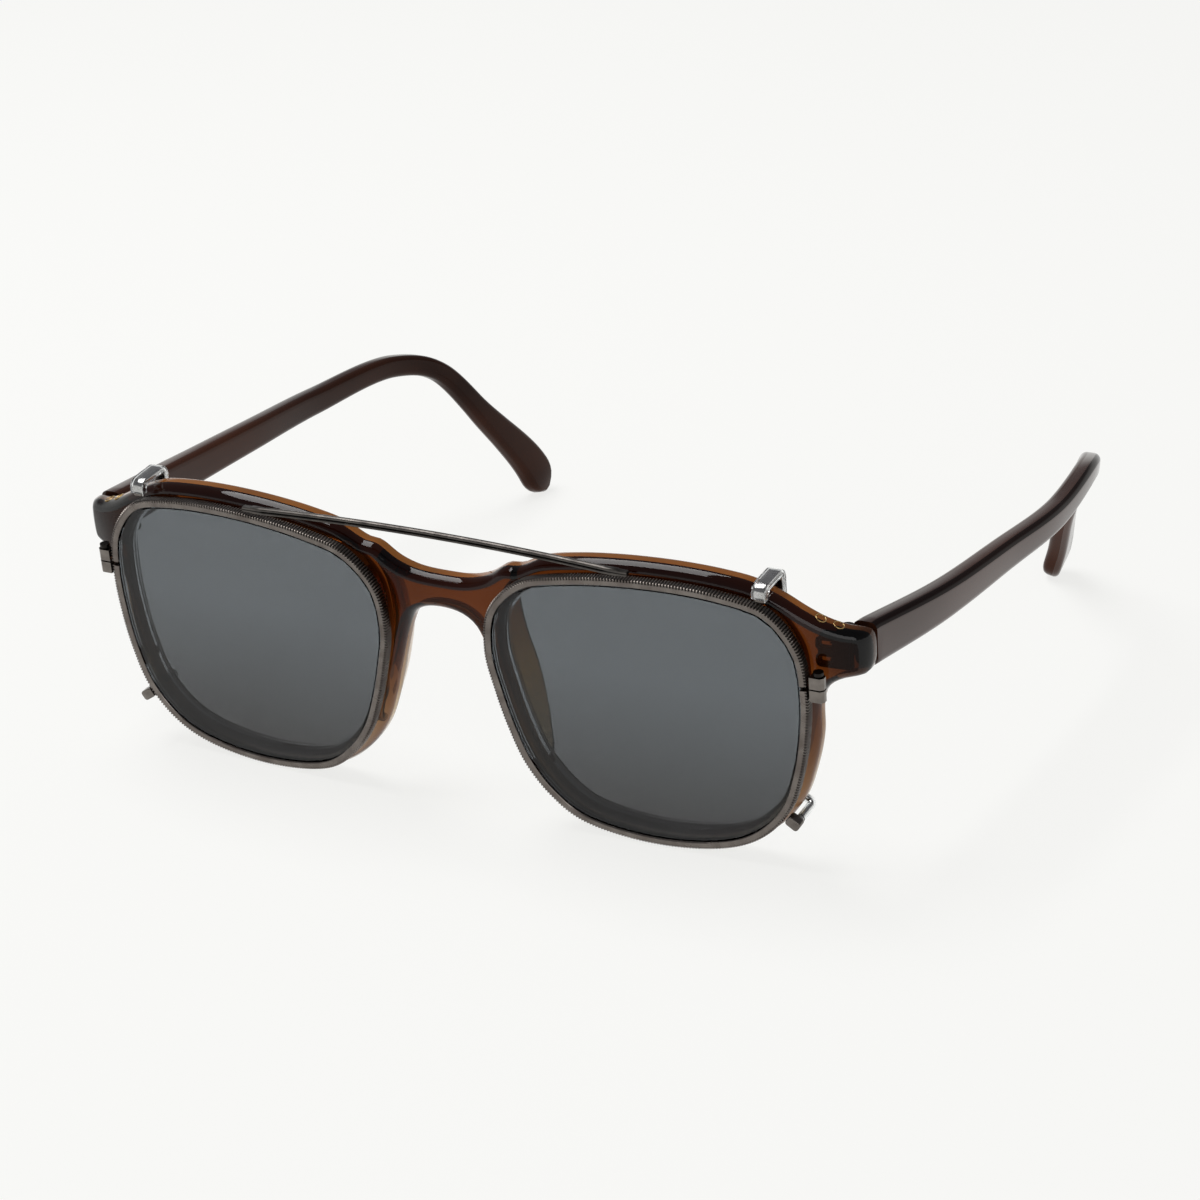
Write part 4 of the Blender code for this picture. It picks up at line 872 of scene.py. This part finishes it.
def upper_hooks():
    """Bright strips over the brow in thin clear sleeves, each rooted in a small block."""
    path = hook_path()
    width = HOOK_WIDTH - 0.4
    both_sides("hook_strip", strip(path, slab(width, HOOK_THICK, 0.12)), "clip", chrome,
               "upper_hook", 50.0)
    wall = HOOK_SLEEVE_WALL
    bore = slab(width + 2 * SLEEVE_GAP, HOOK_THICK + 2 * SLEEVE_GAP, 0.15)
    skin_rows = slab(width + 2 * SLEEVE_GAP + 2 * wall,
                     HOOK_THICK + 2 * SLEEVE_GAP + 2 * wall, 0.3)
    both_sides("hook_sleeve", hollow(path[1:], skin_rows, bore), "clip", sleeve,
               "upper_hook_sleeve", 50.0)
    low, high = path[0], path[1]
    block = [low, low + Vector((0, 0, 0.12)), high - Vector((0, 0, 0.1)), high]
    sizes = [0.85, 1.0, 1.0, 0.85]
    sections = [[spot + Vector((a * size, b * size, 0)) for a, b in slab(*HOOK_ROOT)]
                for spot, size in zip(block, sizes)]
    both_sides("hook_root", loft(sections), "clip", pewter, None, 50.0)


def lower_hooks():
    """Rounded blocks on the rims with sleeved wires that run back under the front."""
    on_rim = at_angle(0.0, LOWER_ANGLE)
    outward = at_angle(1.0, LOWER_ANGLE) - on_rim
    outward = outward / np.linalg.norm(outward)
    out = Vector((outward[0], 0, outward[1]))
    across = Vector((-out.z, 0, out.x))
    front = clip_place(*on_rim, 0.0)
    reach = LOWER_OFFSET + LOWER_BLOCK / 2 - 0.15
    middle = front + out * (SEAT_GAP + reach) / 2
    rows = slab(reach - SEAT_GAP, LOWER_BLOCK - 0.2, 0.5, 5)
    near, far = LOWER_MARGIN, CLIP_RIM_DEPTH - LOWER_MARGIN
    sections = []
    for size, deep in ((0.86, near), (0.96, near + 0.08), (1.0, near + 0.25),
                       (1.0, far - 0.25), (0.96, far - 0.08), (0.86, far)):
        sections.append([middle + Vector((0, deep, 0)) + out * a * size + across * b * size
                         for a, b in rows])
    both_sides("lower_block", loft(sections), "clip", pewter, "lower_hook_block", 50.0)
    along = on_rim + outward * LOWER_OFFSET
    start = Vector((along[0], front.y + far + SEAT_GAP, along[1]))
    back = front_place(along[0], 0.0, FRONT_THICK).y + SEAT_GAP + ARM_SLEEVE_RADIUS
    corner = Vector((along[0], back, along[1]))
    turn = LOWER_TURN
    bend_start = corner - Vector((0, turn, 0))
    path = [start.lerp(bend_start, share) for share in (0.0, 0.1, 0.5, 1.0)]
    for angle in range(15, 91, 15):
        a = math.radians(angle)
        path.append(bend_start - out * turn * (1 - math.cos(a))
                    + Vector((0, turn * math.sin(a), 0)))
    path.append(path[-1] - out * (ARM_TIP - turn))
    both_sides("lower_wire", strip_round(path, ARM_RADIUS), "clip", chrome,
               "lower_hook", 50.0)
    sides = 20
    tube = hollow(path[1:], ring(LOWER_SLEEVE_RADIUS, sides), ring(ARM_RADIUS + 0.08, sides))
    both_sides("lower_sleeve", tube, "clip", sleeve, "lower_hook_sleeve", 50.0)
    collar = [(0.45, -0.2), (0.66, -0.2), (0.74, -0.08), (0.74, 0.12), (0.66, 0.22), (0.45, 0.22)]
    both_sides("lower_collar", turned(collar, start, Vector((0, 1, 0))), "clip", chrome,
               None, 50.0)


def strip_round(path, radius, sides=20):
    """A round wire along a path."""
    sections = []
    for i, centre in enumerate(path):
        side_axis, up_axis = path_frame(path, i)
        sections.append([centre + side_axis * a + up_axis * b for a, b in ring(radius, sides)])
    return loft(sections)


def hinge_anchors():
    """Anchor plates with two windows, sunk in the end pieces, and the knuckles behind them."""
    mesh = bmesh.new()
    back = front_place(HINGE_X, 0.0, FRONT_THICK).y
    plate = [(-2.2, -2.5), (2.7, -2.5), (2.7, 2.5), (-2.2, 2.5), (-2.55, 2.25), (-2.7, 1.8),
             (-2.7, 0.75), (-2.35, 0.3), (-2.35, -0.3), (-2.7, -0.75), (-2.7, -1.8),
             (-2.55, -2.25)]
    windows = [[(-1.2 + a, level + b) for a, b in slab(*ANCHOR_WINDOW)]
               for level in WINDOW_LEVELS]
    sides = []
    for y in (back - depth for depth in ANCHOR_DEPTHS):
        sides.append([add_loop(mesh, [Vector((HINGE_X + a, y, END_MIDDLE + b)) for a, b in border])
                      for border in (plate, *windows)])
    for border, other in zip(*sides):
        bridge(mesh, border, other)
    for borders in sides:
        cap(mesh, borders[0], borders[1:])
    turns = [math.radians(-40 + 260 * i / 20) for i in range(21)]
    knuckle = [(KNUCKLE_RADIUS * math.cos(a), KNUCKLE_RADIUS * math.sin(a)) for a in turns]
    knuckle += [(-0.75, back - 0.9 - HINGE_Y), (0.75, back - 0.9 - HINGE_Y)]
    for low, high in KNUCKLE_LEVELS:
        loops = []
        for z, size in ((low, 0.94), (low + 0.1, 1.0), (high - 0.1, 1.0), (high, 0.94)):
            centre = Vector((HINGE_X, HINGE_Y, END_MIDDLE + z))
            loops.append(add_loop(mesh, [centre + Vector((a * size, b * size, 0))
                                         for a, b in knuckle]))
        for loop_a, loop_b in zip(loops, loops[1:]):
            bridge(mesh, loop_a, loop_b)
        mesh.faces.new(loops[0])
        mesh.faces.new(loops[-1])
    both_sides("hinge_anchor", mesh, "front", black_metal_and_painted_shade, "front_hinge", 30.0)


def hinge_screws():
    """Flat-headed screws that end just above the top knuckle, with a round recess in the head."""
    low, high = END_MIDDLE - PIN_BELOW, END_MIDDLE + PIN_ABOVE
    profile = [(0.45, low), (0.55, low + 0.1), (0.55, high - 0.3), (0.85, high - 0.18),
               (0.85, high - 0.05), (0.78, high), (0.3, high), (0.3, high - 0.1),
               (0.0, high - 0.1)]
    both_sides("hinge_pin", turned(profile, Vector((HINGE_X, HINGE_Y, 0)), Vector((0, 0, 1))),
               "front", black_metal_and_painted_shade, "hinge_screw", 30.0)


def rivet_rings():
    """Two fine gilt rings set into the top of each end piece, above the hinge anchor."""
    top = sorted((x, z) for x, z in front_outline(840) if 58.0 < x < 66.0 and z > END_MIDDLE)
    for number, (x, y) in enumerate(RIVETS):
        low, level, high = (float(np.interp(x + side, *zip(*top)))
                            for side in (-RIVET_REACH, 0.0, RIVET_REACH))
        centre = Vector((x, y, level + RIVET_PROUD))
        lean = Matrix.Rotation(math.atan2(low - high, 2 * RIVET_REACH), 3, "Y")
        sections = []
        for i in range(28):
            a = 2 * math.pi * i / 28
            out = Vector((math.cos(a), math.sin(a), 0))
            sections.append([centre + lean @ (out * (RIVET_RADIUS + u) + Vector((0, 0, v)))
                             for u, v in ring(RIVET_WIRE, 8)])
        both_sides(f"rivet_ring_{number}", loft(sections, closed_path=True), "front", gilt,
                   None, 60.0)


# ---------------------------------------------------------------- carried CAD nodes

def dress(prefix, material, bevel=0.0):
    """A material for the CAD nodes whose shape is kept, with slightly softened edges."""
    for name, obj in frame["nodes"].items():
        if name.startswith(prefix) and not obj.hide_render:
            obj.data.materials.clear()
            obj.data.materials.append(material)
            if bevel:
                soften = obj.modifiers.new("soft_edges", "BEVEL")
                soften.width = bevel * MM
                soften.segments = 2
                soften.limit_method = "ANGLE"
                soften.angle_limit = math.radians(40)


front_shell()
nose_pads()
eye_lenses()
temple_arms()
clip_rings()
brow_wires()
upper_hooks()
lower_hooks()
hinge_anchors()
hinge_screws()
rivet_rings()
dress("clip_lens", tinted)
dress("temple_hinge", steel)
dress("temple_core", steel)
dress("rim_lock_upper", pewter, 0.14)
dress("rim_lock_lower", pewter, 0.14)
dress("rim_lock_screw", black_metal_and_painted_shade, 0.16)


# ---------------------------------------------------------------- studio

def studio():
    """Pale floor and horizon, a darker upper sky, and two soft lamps."""
    scene = bpy.context.scene
    scene.view_settings.view_transform = "Standard"
    world = bpy.data.worlds.new("studio")
    scene.world = world
    world.use_nodes = True
    tree = world.node_tree
    back = tree.nodes["Background"]
    where = tree.nodes.new("ShaderNodeTexCoord")
    split = tree.nodes.new("ShaderNodeSeparateXYZ")
    tree.links.new(where.outputs["Generated"], split.inputs["Vector"])
    sky = ramp(tree, split.outputs["Z"], [(0.0, BACKDROP), (0.17, BACKDROP),
                                          (0.30, UPPER_SKY), (1.0, TOP_SKY)])
    tree.links.new(sky, back.inputs["Color"])
    back.inputs["Strength"].default_value = 1.0

    mesh = bmesh.new()
    half = FLOOR_HALF
    mesh.faces.new(add_loop(mesh, [(-half, -half, 0), (half, -half, 0), (half, half, 0),
                                   (-half, half, 0)]))
    data = bpy.data.meshes.new("floor")
    mesh.to_mesh(data)
    floor = bpy.data.objects.new("floor", data)
    scene.collection.objects.link(floor)
    material, tree, shader = new_material("floor")
    shader.inputs["Base Color"].default_value = FLOOR_PAINT
    shader.inputs["Roughness"].default_value = 0.9
    shader.inputs["Specular IOR Level"].default_value = 0.0
    glow = tree.nodes.new("ShaderNodeEmission")
    # Far from the object the floor fades into the backdrop's colour
    where = tree.nodes.new("ShaderNodeTexCoord")
    away = add_node(tree, "ShaderNodeVectorMath", operation="LENGTH")
    tree.links.new(where.outputs["Object"], away.inputs[0])
    far = add_node(tree, "ShaderNodeMapRange", interpolation_type="SMOOTHSTEP")
    far.inputs["From Min"].default_value = FLOOR_FADE_FROM
    far.inputs["From Max"].default_value = FLOOR_FADE_TO
    tree.links.new(away.outputs["Value"], far.inputs["Value"])
    tree.links.new(ramp(tree, far.outputs["Result"], [(0.0, FLOOR_GLOW), (1.0, BACKDROP)]),
                   glow.inputs["Color"])
    share = ramp(tree, far.outputs["Result"], [(0.0, (FLOOR_GLOW_SHARE,) * 3), (1.0, (1.0,) * 3)])
    blend = tree.nodes.new("ShaderNodeMixShader")
    tree.links.new(share, blend.inputs["Fac"])
    tree.links.new(shader.outputs["BSDF"], blend.inputs[1])
    tree.links.new(glow.outputs["Emission"], blend.inputs[2])
    tree.links.new(blend.outputs["Shader"], tree.nodes["Material Output"].inputs["Surface"])
    data.materials.append(material)

    for name, place, size_x, size_y, power in LAMPS:
        lamp = bpy.data.lights.new(name, "AREA")
        lamp.shape = "RECTANGLE"
        lamp.size = size_x
        lamp.size_y = size_y
        lamp.energy = power
        obj = bpy.data.objects.new(name, lamp)
        scene.collection.objects.link(obj)
        obj.location = place
        towards = Vector(LAMP_TARGET) - Vector(place)
        obj.rotation_euler = towards.to_track_quat("-Z", "Y").to_euler()


def camera():
    """The photograph's viewpoint, found by fitting a camera to points on the object."""
    lens = bpy.data.cameras.new("camera")
    lens.sensor_width = 36.0
    lens.lens = FOCAL_LENGTH
    lens.clip_start = 0.01
    obj = bpy.data.objects.new("camera", lens)
    bpy.context.scene.collection.objects.link(obj)
    axes = Matrix((CAMERA_RIGHT, CAMERA_UP, CAMERA_BACK)).transposed().to_4x4()
    obj.matrix_world = Matrix.Translation(CAMERA_PLACE) @ axes
    bpy.context.scene.camera = obj


studio()
camera()
